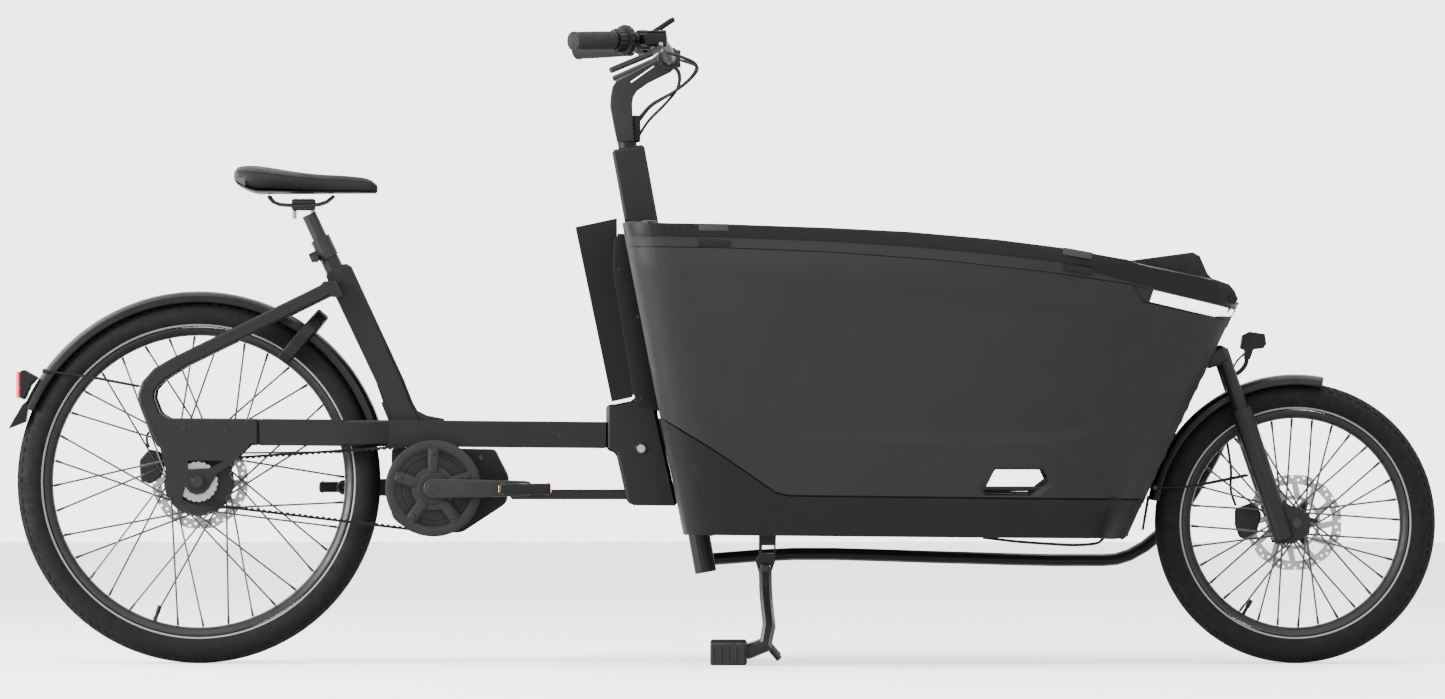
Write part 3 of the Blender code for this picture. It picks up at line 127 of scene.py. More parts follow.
class Surface:
    """A Principled material and short ways to wire procedural detail into it."""

    def __init__(self, name, roughness=0.5, metallic=0.0):
        self.material = bpy.data.materials.new(name)
        self.material.use_nodes = True
        self.tree = self.material.node_tree
        self.shader = self.tree.nodes["Principled BSDF"]
        self.shader.inputs["Roughness"].default_value = roughness
        self.shader.inputs["Metallic"].default_value = metallic
        self.shader.inputs["Specular IOR Level"].default_value = SPECULAR
        self.place = self.node("ShaderNodeTexCoord").outputs["Object"]

    def node(self, kind, **values):
        made = self.tree.nodes.new(kind)
        for name, value in values.items():
            made.inputs[name.replace("_", " ")].default_value = value
        return made

    def link(self, output, node, socket):
        self.tree.links.new(output, node.inputs[socket])

    def fixed(self, socket, value):
        self.shader.inputs[socket].default_value = value

    def stretched(self, scale):
        mapping = self.node("ShaderNodeMapping")
        mapping.inputs["Scale"].default_value = scale
        self.link(self.place, mapping, "Vector")
        return mapping.outputs["Vector"]

    def noise(self, scale, detail=3.0, stretch=None):
        made = self.node("ShaderNodeTexNoise", Scale=scale, Detail=detail)
        place = self.stretched(stretch) if stretch else self.place
        self.link(place, made, "Vector")
        return made.outputs["Fac"]

    def cells(self, scale, output="Distance"):
        made = self.node("ShaderNodeTexVoronoi", Scale=scale)
        self.link(self.place, made, "Vector")
        return made.outputs[output]

    def bands(self, scale, direction, distortion=0.0):
        made = self.node("ShaderNodeTexWave", Scale=scale, Distortion=distortion)
        made.bands_direction = direction
        self.link(self.place, made, "Vector")
        return made.outputs["Fac"]

    def graded(self, factor, low, high, start=0.3, end=0.7):
        """The factor's middle range mapped to low..high."""
        made = self.node("ShaderNodeMapRange")
        self.link(factor, made, "Value")
        made.inputs["From Min"].default_value = start
        made.inputs["From Max"].default_value = end
        made.inputs["To Min"].default_value = low
        made.inputs["To Max"].default_value = high
        return made.outputs["Result"]

    def mixed(self, factor, first, second):
        made = self.node("ShaderNodeMix")
        made.data_type = "RGBA"
        self.link(factor, made, "Factor")
        for socket, colour in ((6, first), (7, second)):
            if isinstance(colour, tuple):
                made.inputs[socket].default_value = (*colour, 1.0)
            else:
                self.tree.links.new(colour, made.inputs[socket])
        return made.outputs[2]

    def colour(self, output):
        self.link(output, self.shader, "Base Color")

    def rough(self, output):
        self.link(output, self.shader, "Roughness")

    def relief(self, *layers, edge=0.0):
        """Bump layers of (height, strength, distance) over edges rounded by a radius."""
        normal = None
        if edge:
            bevel = self.tree.nodes.new("ShaderNodeBevel")
            bevel.samples = BEVEL_SAMPLES
            bevel.inputs["Radius"].default_value = edge
            normal = bevel.outputs["Normal"]
        for height, strength, distance in layers:
            bump = self.node("ShaderNodeBump", Strength=strength, Distance=distance)
            self.link(height, bump, "Height")
            if normal:
                self.link(normal, bump, "Normal")
            normal = bump.outputs["Normal"]
        self.link(normal, self.shader, "Normal")


def grey(value):
    return (value, value, value)


def tinted(base, by):
    return tuple(min(1.0, c * by) for c in base)


def coat_of_paint(name, base, roughness, edge=0.0015):
    """Satin powder coat: a fine orange peel, and faint dust and rubbing."""
    made = Surface(name)
    made.colour(made.mixed(made.noise(9.0), tinted(base, 0.86), tinted(base, 1.16)))
    made.rough(made.graded(made.noise(38.0), roughness - 0.06, roughness + 0.08))
    made.relief((made.noise(900.0, 2.0), 0.16, 0.0004), (made.noise(55.0), 0.05, 0.001),
                edge=edge)
    return made.material


def moulded_plastic(name, base, roughness, grain=650.0, depth=0.30, edge=0.0012):
    """Spark-eroded texture with slightly shinier rubbed patches."""
    made = Surface(name)
    made.colour(made.mixed(made.noise(12.0), tinted(base, 0.84), tinted(base, 1.18)))
    made.rough(made.graded(made.noise(24.0), roughness - 0.08, roughness + 0.08))
    made.relief((made.cells(grain), depth, 0.0005), (made.noise(grain * 2.2), 0.12, 0.0004),
                edge=edge)
    return made.material


def black_alloy(name, base, roughness):
    made = Surface(name, metallic=0.30)
    made.colour(made.mixed(made.noise(16.0), tinted(base, 0.8), tinted(base, 1.3)))
    made.rough(made.graded(made.noise(60.0), roughness - 0.08, roughness + 0.10))
    made.relief((made.noise(1400.0, 2.0), 0.10, 0.0003), edge=0.0008)
    return made.material


def brushed(name, base, roughness, stretch=(20.0, 400.0, 400.0)):
    made = Surface(name, metallic=1.0)
    made.colour(made.mixed(made.noise(3.0, 4.0, stretch), tinted(base, 0.80), base))
    made.rough(made.graded(made.noise(2.0, 3.0, stretch), roughness - 0.07, roughness + 0.10))
    made.relief((made.noise(4.0, 2.0, stretch), 0.08, 0.0003), edge=0.0005)
    return made.material


def rubber(name, base, roughness=0.82):
    """Matt rubber with dust in its pores."""
    made = Surface(name)
    dusty = made.mixed(made.noise(30.0, 5.0), base, tinted(base, 1.7))
    made.colour(dusty)
    made.rough(made.graded(made.noise(70.0), roughness - 0.08, roughness + 0.08))
    made.relief((made.noise(420.0, 4.0), 0.25, 0.0006), edge=0.0008)
    return made.material


def synthetic_leather(name, base):
    made = Surface(name)
    made.colour(made.mixed(made.cells(520.0), tinted(base, 0.7), tinted(base, 1.5)))
    made.rough(made.graded(made.noise(45.0), 0.48, 0.66))
    made.relief((made.cells(520.0), 0.42, 0.0007), (made.noise(80.0), 0.06, 0.002))
    return made.material


def woven(name, base):
    """A plain weave: two sets of threads, and slubs."""
    made = Surface(name)
    warp, weft = made.bands(330.0, "X", 1.2), made.bands(330.0, "Y", 1.2)
    both = made.node("ShaderNodeMath")
    both.operation = "MULTIPLY"
    made.link(warp, both, 0)
    made.link(weft, both, 1)
    threads = both.outputs["Value"]
    made.colour(made.mixed(threads, tinted(base, 0.55), tinted(base, 1.6)))
    made.rough(made.graded(made.noise(120.0), 0.80, 0.95))
    made.fixed("Sheen Weight", 0.25)
    made.relief((threads, 0.55, 0.0008), (made.noise(500.0), 0.20, 0.0005))
    return made.material


def lens(name, base, glow=0.0, prism=260.0):
    made = Surface(name, roughness=0.12)
    made.colour(made.mixed(made.cells(prism), tinted(base, 0.75), base))
    made.fixed("Coat Weight", 0.6)
    made.fixed("Emission Color", (*base, 1.0))
    made.fixed("Emission Strength", glow)
    made.relief((made.cells(prism), 0.5, 0.0008), edge=0.0008)
    return made.material


FRAME_PAINT = coat_of_paint("frame_paint", grey(0.00242), 0.46)
BOX_FOAM = moulded_plastic("box_foam", grey(0.00486), 0.60, grain=420.0, depth=0.22)
SKIRT = moulded_plastic("skirt_plastic", (0.00112, 0.00096, 0.00112), 0.55)
TRIM = moulded_plastic("trim_plastic", grey(0.00027), 0.50)
PAD_GREY = moulded_plastic("pad_grey", grey(0.01100), 0.62)
FENDER = moulded_plastic("fender_plastic", grey(0.00075), 0.42, grain=900.0, depth=0.12)
ALLOY = black_alloy("black_alloy", grey(0.00720), 0.42)
RIM_ALLOY = black_alloy("rim_alloy", grey(0.00900), 0.36)
STEEL = brushed("brushed_steel", grey(0.18000), 0.30)
SPOKE = brushed("spoke_steel", grey(0.03500), 0.28)
DARK_STEEL = brushed("dark_steel", grey(0.01750), 0.38)
TYRE = rubber("tyre_rubber", grey(0.00079))
GRIP = rubber("grip_rubber", grey(0.00456), 0.76)
STRIPE = moulded_plastic("reflective_stripe", grey(0.08800), 0.38, grain=1500.0, depth=0.2)
LEATHER = synthetic_leather("saddle_cover", grey(0.00210))
FABRIC = woven("cushion_fabric", grey(0.00800))
RED = lens("red_lens", (0.62, 0.006, 0.008), 0.5)
WHITE = lens("white_lens", grey(0.88), 0.9, prism=150.0)
# The pedal reflectors' amber lens glows faintly though it is no lamp: a painted glow in place of
# reflected light.
AMBER_PAINTED_GLOW = lens("amber_lens_painted_glow", (0.85, 0.33, 0.01), 0.08)
SCREEN = lens("dark_screen", grey(0.00200), 0.0, prism=40.0)


# Shapes -----------------------------------------------------------------------------


def smoothed(mesh, degrees=35):
    mesh.shade_smooth()
    mesh.set_sharp_from_angle(angle=math.radians(degrees))
    return mesh


def new_object(name, mesh, material, place=None):
    obj = bpy.data.objects.new(name, mesh)
    bpy.context.scene.collection.objects.link(obj)
    obj.data.materials.clear()
    obj.data.materials.append(material)
    if place is not None:
        obj.matrix_world = place
    return obj


def from_shape(name, shape, material, place=None, degrees=35):
    bmesh.ops.recalc_face_normals(shape, faces=shape.faces)
    mesh = bpy.data.meshes.new(name)
    shape.to_mesh(mesh)
    shape.free()
    return new_object(name, smoothed(mesh, degrees), material, place)


def applied(obj):
    """The object with its modifiers made part of its mesh."""
    bpy.context.view_layer.update()
    graph = bpy.context.evaluated_depsgraph_get()
    mesh = bpy.data.meshes.new_from_object(obj.evaluated_get(graph))
    obj.modifiers.clear()
    obj.data = mesh
    return obj


def grid_faces(shape, rows, closed_rows=False, closed_columns=True):
    """Faces between rows of points, round each row and perhaps from the last to the first."""
    verts = [[shape.verts.new(point) for point in row] for row in rows]
    pairs = list(zip(verts, verts[1:] + verts[:1] if closed_rows else verts[1:]))
    for low, high in pairs:
        for k in range(len(low) if closed_columns else len(low) - 1):
            after = (k + 1) % len(low)
            shape.faces.new((low[k], low[after], high[after], high[k]))
    return verts


def turned(name, profile, steps, material, centre=(0, 0, 0)):
    """A closed (radius, y) profile turned about the Y axis through a centre."""
    rows = []
    for k in range(steps):
        a = math.tau * k / steps
        rows.append([(r * math.cos(a), y, r * math.sin(a)) for r, y in profile])
    shape = bmesh.new()
    grid_faces(shape, rows, closed_rows=True)
    return from_shape(name, shape, material, Matrix.Translation(centre))


def turn_to(direction):
    up = Vector(direction).normalized()
    side = Vector((0, 1, 0)) if abs(up.y) < 0.9 else Vector((0, 0, 1))
    across = side.cross(up).normalized()
    return Matrix((across, up.cross(across), up)).transposed().to_4x4()


def add_rod(shape, start, end, radius, sides=10, end_radius=None):
    start, end = Vector(start), Vector(end)
    bmesh.ops.create_cone(
        shape,
        cap_ends=True,
        segments=sides,
        radius1=radius,
        radius2=radius if end_radius is None else end_radius,
        depth=(end - start).length,
        matrix=Matrix.Translation((start + end) / 2) @ turn_to(end - start),
    )


def bevelled_rod(shape, start, end, radius, chamfer, sides=24):
    """A rod with a chamfer at each end."""
    start, end = Vector(start), Vector(end)
    lean = turn_to(end - start)
    long = (end - start).length
    rows = []
    for along, r in ((0, radius - chamfer), (chamfer, radius), (long - chamfer, radius),
                     (long, radius - chamfer)):
        ring = []
        for k in range(sides):
            a = math.tau * k / sides
            ring.append(start + lean.to_3x3() @ Vector((r * math.cos(a), r * math.sin(a), along)))
        rows.append(ring)
    verts = grid_faces(shape, rows)
    shape.faces.new(verts[0])
    shape.faces.new(verts[-1])


def spline(points, count):
    """Points of the smooth curve through some knots, of any dimension."""
    knots = [Vector(p) for p in points]
    last = len(knots) - 1
    found = []
    for step in range(count + 1):
        place = step / count * last
        k = min(int(place), last - 1)
        t = place - k
        p0, p1 = knots[max(k - 1, 0)], knots[k]
        p2, p3 = knots[k + 1], knots[min(k + 2, last)]
        found.append(
            0.5
            * (
                2 * p1
                + (p2 - p0) * t
                + (2 * p0 - 5 * p1 + 4 * p2 - p3) * t * t
                + (3 * p1 - p0 - 3 * p2 + p3) * t**3
            )
        )
    return found


def swept(name, path, radius, material, sides=16):
    """A round tube along a path. radius is a number, or a function of the share along it."""
    path = [Vector(p) for p in path]
    size = radius if callable(radius) else (lambda share: radius)
    shape = bmesh.new()
    rows = []
    normal = None
    for k, point in enumerate(path):
        ahead = (path[min(k + 1, len(path) - 1)] - path[max(k - 1, 0)]).normalized()
        if normal is None:
            normal = ahead.orthogonal().normalized()
        normal = (normal - ahead * normal.dot(ahead)).normalized()
        other = ahead.cross(normal)
        r = size(k / (len(path) - 1))
        rows.append([
            point + r * (math.cos(math.tau * j / sides) * normal
                         + math.sin(math.tau * j / sides) * other)
            for j in range(sides)
        ])
    verts = grid_faces(shape, rows)
    shape.faces.new(verts[0])
    shape.faces.new(verts[-1])
    return from_shape(name, shape, material)


def plate(name, outline, low_y, high_y, material, holes=(), bevel=0.0, segments=2):
    """A filled (x, z) outline with holes between two values of Y, with its edges rounded."""
    curve = bpy.data.curves.new(name, "CURVE")
    curve.dimensions = "2D"
    curve.fill_mode = "BOTH"
    curve.extrude = abs(high_y - low_y) / 2 - bevel
    curve.bevel_depth = bevel
    curve.bevel_resolution = segments
    curve.offset = -bevel
    for points in [outline, *holes]:
        loop = curve.splines.new("POLY")
        loop.points.add(len(points) - 1)
        loop.use_cyclic_u = True
        for spot, (x, y) in zip(loop.points, points):
            spot.co = (x, y, 0.0, 1.0)
    drawn = bpy.data.objects.new(name + "_outline", curve)
    bpy.context.scene.collection.objects.link(drawn)
    bpy.context.view_layer.update()
    graph = bpy.context.evaluated_depsgraph_get()
    mesh = bpy.data.meshes.new_from_object(drawn.evaluated_get(graph))
    bpy.data.objects.remove(drawn)
    shape = bmesh.new()
    shape.from_mesh(mesh)
    bmesh.ops.remove_doubles(shape, verts=shape.verts, dist=0.00001)
    turn = Matrix.Rotation(math.radians(90), 4, "X")
    place = Matrix.Translation((0, (low_y + high_y) / 2, 0)) @ turn
    bmesh.ops.transform(shape, matrix=place, verts=shape.verts)
    return from_shape(name, shape, material)


def arc(centre, radius, count, start=0.0, sweep=360.0):
    """Points (x, z) on an arc, with angles in degrees. A whole circle leaves out its last."""
    steps = count if abs(sweep) >= 360.0 else count - 1
    found = []
    for k in range(count):
        a = math.radians(start + sweep * k / steps)
        found.append((centre[0] + radius * math.cos(a), centre[-1] + radius * math.sin(a)))
    return found


def rounded(corners, radius, steps=5):
    """An outline with each corner rounded."""
    found = []
    for k, corner in enumerate(corners):
        here = Vector(corner)
        before = (Vector(corners[k - 1]) - here).normalized()
        after = (Vector(corners[(k + 1) % len(corners)]) - here).normalized()
        half = before.angle(after) / 2
        reach = radius / math.tan(half)
        middle = here + (before + after).normalized() * radius / math.sin(half)
        start, end = here + before * reach - middle, here + after * reach - middle
        turn = start.angle_signed(end)
        for step in range(steps + 1):
            spin = Matrix.Rotation(-turn * step / steps, 2)
            found.append(tuple(middle + spin @ start))
    return found


def finish_piece(obj, body, slot, *replaced):
    """The piece rides on a body and stands for CAD nodes; the slot is not used."""
    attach(obj, body)
    if replaced:
        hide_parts(*replaced)
    return obj


# Wheels -----------------------------------------------------------------------------

TYRE_HALF = 0.0285
BEAD_DEPTH = 0.0505
RIM_HEIGHT = 0.0160
STRIPE_INSIDE = 0.0465  # from the tread down to the reflective stripe
FLANGE_Y = 0.026


def tyre_profile(radius):
    """A round casing with a shallow tread crown and its beads, closed inside."""
    middle = radius - TYRE_HALF
    bead = radius - BEAD_DEPTH
    points = []
    for k in range(27):
        a = math.radians(-128 + 256 * k / 26)
        bulge = TYRE_HALF
        if 30 < abs(math.degrees(a)) < 52:
            bulge -= 0.0006
        points.append((middle + bulge * math.cos(a), bulge * math.sin(a)))
    points += [(bead + 0.0003, 0.0170), (bead + 0.0003, 0.0130)]
    inner = TYRE_HALF - 0.0040
    for k in range(13):
        a = math.radians(120 - 240 * k / 12)
        points.append((middle + inner * math.cos(a), inner * math.sin(a)))
    return points + [(bead + 0.0003, -0.0130), (bead + 0.0003, -0.0170)]


def tread_block(shape, middle, turn, angles, long, height):
    """One raised block of rubber across part of the tread, on the casing's curve."""
    low, high = [], []
    spread = [angles[0] + (angles[1] - angles[0]) * k / 3 for k in range(4)]
    for level, found in ((TYRE_HALF - 0.0012, low), (TYRE_HALF + height, high)):
        for side in (-1, 1):
            row = []
            for a in spread if side > 0 else spread[::-1]:
                r = middle + level * math.cos(math.radians(a))
                y = level * math.sin(math.radians(a))
                lean = turn + side * long / 2 / r + 0.010 * math.sin(math.radians(a) * 1.5)
                row.append((r * math.cos(lean), y, r * math.sin(lean)))
            found.extend(row)
    bottoms = [shape.verts.new(p) for p in low]
    tops = [shape.verts.new(p) for p in high]
    for k in range(8):
        after = (k + 1) % 8
        shape.faces.new((bottoms[k], bottoms[after], tops[after], tops[k]))
    for k in range(3):
        for ring, other in ((tops, False), (bottoms, True)):
            quad = (ring[k], ring[k + 1], ring[6 - k], ring[7 - k])
            shape.faces.new(quad[::-1] if other else quad)


def tread(name, axle, radius, count):
    """Two shoulder rows and a broken centre rib of blocks, no higher than the CAD tyre."""
    shape = bmesh.new()
    middle = radius - TYRE_HALF
    for k in range(count):
        turn = math.tau * k / count
        half = math.pi / count
        pitch = middle * math.tau / count
        tread_block(shape, middle, turn, (-7, 7), pitch * 0.72, 0.00005)
        for side in (-1, 1):
            angles = (side * 14, side * 27)
            tread_block(shape, middle, turn + half, angles, pitch * 0.62, 0.0005)
            angles = (side * 34, side * 47)
            tread_block(shape, middle, turn, angles, pitch * 0.55, 0.0009)
    return from_shape(name, shape, TYRE, Matrix.Translation(axle), 30)


def rim_profile(radius):
    """An aero box section with rounded shoulders and hooked flanges."""
    top = radius - BEAD_DEPTH
    low = top - RIM_HEIGHT
    half = [(low, 0.0), (low + 0.0004, 0.0052), (low + 0.0022, 0.0094), (low + 0.0060, 0.0134)]
    half += [(top - 0.0040, 0.0172), (top - 0.0012, 0.0184), (top, 0.0183), (top, 0.0168)]
    half += [(top - 0.0010, 0.0160), (top - 0.0042, 0.0150), (top - 0.0060, 0.0090)]
    return [(r, -y) for r, y in half[1:]][::-1] + half


def spokes(name, axle, root, inside, count, phase):
    """Crossed round spokes, each with its nipple at the rim, and its elbow at the hub."""
    cross = math.radians(48)
    wires, nipples = bmesh.new(), bmesh.new()
    for k in range(count):
        outer = phase + math.tau * k / count
        side = 1 if k % 2 else -1
        inner = outer + (cross if k % 4 < 2 else -cross)
        start = Vector((root * math.cos(inner), side * (FLANGE_Y + 0.0035),
                        root * math.sin(inner)))
        end = Vector((inside * math.cos(outer), side * 0.003, inside * math.sin(outer)))
        ahead = (end - start).normalized()
        add_rod(wires, start, end, 0.0018, 8)
        add_rod(wires, start + Vector((0, side * 0.0016, 0)),
                start - Vector((0, side * 0.0060, 0)), 0.0016, 8)
        add_rod(nipples, end - 0.015 * ahead, end - 0.001 * ahead, 0.0021, 8, 0.0027)
    place = Matrix.Translation(axle)
    return (from_shape(name + "_spokes", wires, SPOKE, place),
            from_shape(name + "_nipples", nipples, DARK_STEEL, place))


def hub_shell(name, axle, barrel, flange, steps=72):
    edge = FLANGE_Y + 0.004
    half = [(0.0068, edge + 0.0115), (0.0185, edge + 0.0115), (0.0198, edge + 0.0100)]
    half += [(0.0200, edge + 0.0010), (flange - 0.012, edge), (flange - 0.0015, edge - 0.0005)]
    half += [(flange, edge - 0.0018), (flange, edge - 0.0048), (flange - 0.0015, edge - 0.0062)]
    half += [(barrel + 0.003, edge - 0.0075), (barrel, edge - 0.0110), (barrel, 0.0030)]
    half += [(barrel - 0.0010, 0.0022)]
    profile = half + [(r, -y) for r, y in reversed(half)]
    return turned(name, profile, steps, ALLOY, axle)


def rotor(name, axle, low_y, high_y):
    """A wavy disc with rows of round holes, slanted windows, and its dark carrier."""
    radius = 0.0895
    wave = [(radius - 0.0016 * (0.5 + 0.5 * math.cos(12 * math.tau * k / 180)),
             math.tau * k / 180) for k in range(180)]
    outline = [(r * math.cos(a), r * math.sin(a)) for r, a in wave]
    holes = []
    for k in range(12):
        a = 360.0 * k / 12
        window = arc((0, 0), 0.0715, 7, a + 3, 21) + arc((0, 0), 0.0500, 5, a + 15, -16)
        holes.append(window)
        for step, r in ((2, 0.0845), (10, 0.0800), (17, 0.0845), (24, 0.0790)):
            mark = math.radians(a + step)
            holes.append(arc((r * math.cos(mark), r * math.sin(mark)), 0.0026, 10))
    holes.append(arc((0, 0), 0.0430, 48))
    ring = plate(name, outline, low_y, high_y, STEEL, holes, bevel=0.0002, segments=0)
    ring.matrix_world = Matrix.Translation((axle.x, 0, axle.z))
    arms = []
    for k in range(6):
        a = 60.0 * k
        arms += arc((0, 0), 0.0450, 4, a - 8, 16) + arc((0, 0), 0.0310, 5, a + 18, 24)
    carrier = plate(name + "_carrier", arms, low_y - 0.0010, high_y + 0.0004, ALLOY,
                    [arc((0, 0), 0.0205, 36)], bevel=0.0004, segments=0)
    carrier.matrix_world = Matrix.Translation((axle.x, 0, axle.z))
    return ring, carrier


def valve(name, axle, radius, degrees):
    """A valve stem with its cap, inside the rim."""
    a = math.radians(degrees)
    out = Vector((math.cos(a), 0, math.sin(a)))
    rim_inside = radius - BEAD_DEPTH - RIM_HEIGHT
    shape = bmesh.new()
    bevelled_rod(shape, axle + out * (rim_inside + 0.001), axle + out * (rim_inside - 0.016),
                 0.0032, 0.0005, 16)
    bevelled_rod(shape, axle + out * (rim_inside - 0.013), axle + out * (rim_inside - 0.029),
                 0.0042, 0.0010, 16)
    return from_shape(name, shape, TRIM)


def wheel(name, axle, radius, hub, blocks, valve_at):
    body = name + "_wheel"
    barrel, flange, count, phase = hub
    casing = turned(name + "_tyre_casing", tyre_profile(radius), 160, TYRE, axle)
    finish_piece(casing, body, "tyre_rubber", name + "_tyre")
    finish_piece(tread(name + "_tyre_tread", axle, radius, blocks), body, "tyre_rubber")
    for side, word in ((-1, "right"), (1, "left")):
        r = radius - STRIPE_INSIDE
        middle = radius - TYRE_HALF
        a = math.acos((r - middle) / TYRE_HALF)
        band = []
        for level, turn in ((-0.0004, -0.065), (0.0011, -0.060), (0.0011, 0.060),
                            (-0.0004, 0.065)):
            reach = TYRE_HALF + level
            band.append((middle + reach * math.cos(a + turn), side * reach
                         * math.sin(a + turn)))
        stripe = turned(f"{name}_stripe_{word}", band, 160, STRIPE, axle)
        finish_piece(stripe, body, "tyre_rubber")
    finish_piece(turned(name + "_rim_profile", rim_profile(radius), 160, RIM_ALLOY, axle),
                 body, "rim_metal", name + "_rim")
    inside = radius - BEAD_DEPTH - RIM_HEIGHT
    shell = hub_shell(name + "_hub_shell", axle, barrel, flange)
    finish_piece(shell, body, "black_metal", name + "_hub")
    for piece in spokes(name, axle, flange - 0.004, inside - 0.0004, count, phase):
        finish_piece(piece, body, "bare_steel")
    low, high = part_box(name + "_rotor")
    ring, carrier = rotor(name + "_brake_disc", axle, low.y, high.y)
    finish_piece(ring, body, "bare_steel", name + "_rotor")
    finish_piece(carrier, body, "black_metal")
    finish_piece(valve(name + "_valve", axle, radius, valve_at), body, "trim_plastic")


wheel("rear", REAR_AXLE, REAR_RADIUS, (0.056, 0.064, 36, 0.03), 110, 252.5)
wheel("front", FRONT_AXLE, FRONT_RADIUS, (0.020, 0.029, 32, 0.03), 86, 240.5)


# Box --------------------------------------------------------------------------------


def along(line, x):
    """The height of a line of (x, z) points at x."""
    for (x0, z0), (x1, z1) in zip(line, line[1:]):
        if x <= x1 or (x1, z1) == line[-1]:
            return z0 + (z1 - z0) * (x - x0) / (x1 - x0)
    return line[-1][1]


def raised(line, by):
    return [(x, z + by) for x, z in line]


SEAM = [(-0.118, 0.458), (-0.010, 0.393), (0.100, 0.3165), (0.120, 0.312), (0.777, 0.304)]
SHELL_TOP = [(-0.175, 0.7675), (0.0, 0.765), (0.2, 0.757), (0.4, 0.742), (0.6, 0.720)]
SHELL_TOP += [(0.752, 0.698), (0.766, 0.6665), (0.940, 0.6300)]
RIM_TOP = [(-0.175, 0.812), (0.0, 0.809), (0.2, 0.802), (0.34, 0.795), (0.5, 0.781)]
RIM_TOP += [(0.62, 0.766), (0.752, 0.742), (0.766, 0.734), (0.900, 0.708), (0.947, 0.668)]
SKIRT_LOW = [(-0.072, 0.240), (0.740, 0.232), (0.775, 0.262)]
STEP = [(0.476, 0.3125), (0.612, 0.3125), (0.590, 0.3595), (0.500, 0.3600)]
# The pressed line of the side panel, back to front over the top and back below
PANEL = [(0.060, 0.712), (0.200, 0.703), (0.400, 0.686), (0.600, 0.665), (0.700, 0.648)]
PANEL += [(0.748, 0.628), (0.758, 0.592), (0.742, 0.530), (0.720, 0.470), (0.690, 0.432)]
PANEL += [(0.650, 0.416), (0.550, 0.411), (0.300, 0.413), (0.060, 0.418)]
PANEL_DEPTH = 0.0050
PANEL_SLOPE = 0.014
SIDE_STATIONS = 48


def box_rear(z):
    return -0.175 + (0.768 - z) * 0.1951


def box_front(z):
    return 0.9340 - (0.630 - z) * 0.477


def half_width(z):
    """The box narrows below its top, and the skirt follows it inward."""
    return 0.195 + (BOX_HALF_WIDTH - 0.195) * min(1.0, max(0.0, (z - 0.235) / 0.500))


def filleted(points, limits, steps=5):
    """The open outline with each inner corner rounded within its limit."""
    points = [Vector(p) for p in points]
    found = [points[0]]
    for k in range(1, len(points) - 1):
        here, before, after = points[k], points[k - 1] - points[k], points[k + 1] - points[k]
        start = here + before.normalized() * min(limits[k], 0.5 * before.length)
        end = here + after.normalized() * min(limits[k], 0.5 * after.length)
        for step in range(steps + 1):
            t = step / steps
            found.append(start * (1 - t) ** 2 + here * (2 * t * (1 - t)) + end * t * t)
    return found + [points[-1]]


def plan(rear, front, half, recess):
    """Half of the box's outline from the column's channel to the head tube's recess."""
    nose = 0.165 + 0.20 * (half - 0.195)
    long = front - rear
    back = [(rear + 0.082, 0.0), (rear + 0.082, 0.040), (rear + 0.002, 0.044)]
    back += [(rear, 0.060), (rear, half * 0.70), (rear + 0.008, half * 0.87)]
    back += [(rear + 0.030, half * 0.96), (rear + 0.070, half), (rear + 0.12, half)]
    limits = [0, 0.006, 0.006, 0.01, 0.03, 0.05, 0.05, 0.05, 0]
    line = filleted(back, limits)[:-1]
    sides = [(0.20, 1.0), (0.42, 1.0), (0.62, 0.975), (0.76, 0.90)]
    sides += [(0.8359, 0.83), (0.8485, 0.815), (0.93, 0.66)]
    flank = [(rear + 0.12, half)] + [(rear + long * s, half * w) for s, w in sides]
    smooth = filleted(flank, [0.12] * len(flank), 6)
    lengths = [0.0]
    for a, b in zip(smooth, smooth[1:]):
        lengths.append(lengths[-1] + (b - a).length)
    for k in range(SIDE_STATIONS):
        reach = lengths[-1] * k / (SIDE_STATIONS - 1)
        x = np.interp(reach, lengths, [p.x for p in smooth])
        y = np.interp(reach, lengths, [p.y for p in smooth])
        line.append(Vector((x, y)))
    tip = [tuple(line[-1]), (front - 0.020, nose * 0.92), (front - 0.003, nose * 0.72),
           (front, 0.106)]
    bounds = [0, 0.05, 0.03, 0.012]
    if recess:
        tip += [(front - 0.008, 0.094), (front - 0.118, 0.080), (front - 0.118, 0.0)]
        bounds += [0.008, 0.006, 0]
    else:
        tip.append((front + 0.002, 0.0))
        bounds.append(0)
    return line + filleted(tip, bounds)[1:]


def panel_depth(x, z):
    """How far the side is pressed in at a point: all of it well inside the panel's line."""
    inside = False
    nearest = 1.0
    for (x0, z0), (x1, z1) in zip(PANEL, PANEL[1:] + PANEL[:1]):
        if (z0 > z) != (z1 > z) and x < x0 + (x1 - x0) * (z - z0) / (z1 - z0):
            inside = not inside
        if (x0, z0) == PANEL[-1]:
            continue
        dx, dz = x1 - x0, z1 - z0
        t = max(0.0, min(1.0, ((x - x0) * dx + (z - z0) * dz) / (dx * dx + dz * dz)))
        nearest = min(nearest, math.hypot(x - x0 - t * dx, z - z0 - t * dz))
    if not inside:
        return 0.0
    share = min(1.0, nearest / PANEL_SLOPE)
    fade = min(1.0, max(0.0, (x - 0.070) / 0.220))
    return PANEL_DEPTH * share * share * (3 - 2 * share) * fade


def fill_floor(shape, ring, line):
    """Triangles across a ring of corners, which follow a line of (x, z) points between them."""
    corners = [Vector(vert.co[:2]) for vert in ring]
    stations = [0.02 * k for k in range(-5, 36)] + [-0.010, 0.110]
    inner = [Vector((x, 0.045 * k)) for x in stations for k in range(-3, 4)]
    inner = [p for p in inner if -0.02 < p.x < 0.64 or abs(p.y) > 0.1]
    loop = [list(range(len(corners)))]
    points, _, triangles, *_ = delaunay_2d_cdt(corners + inner, [], loop, 1, 1e-6)
    verts = list(ring)
    verts += [shape.verts.new((*p, along(line, p.x))) for p in points[len(ring):]]
    for triangle in triangles:
        shape.faces.new([verts[k] for k in triangle])


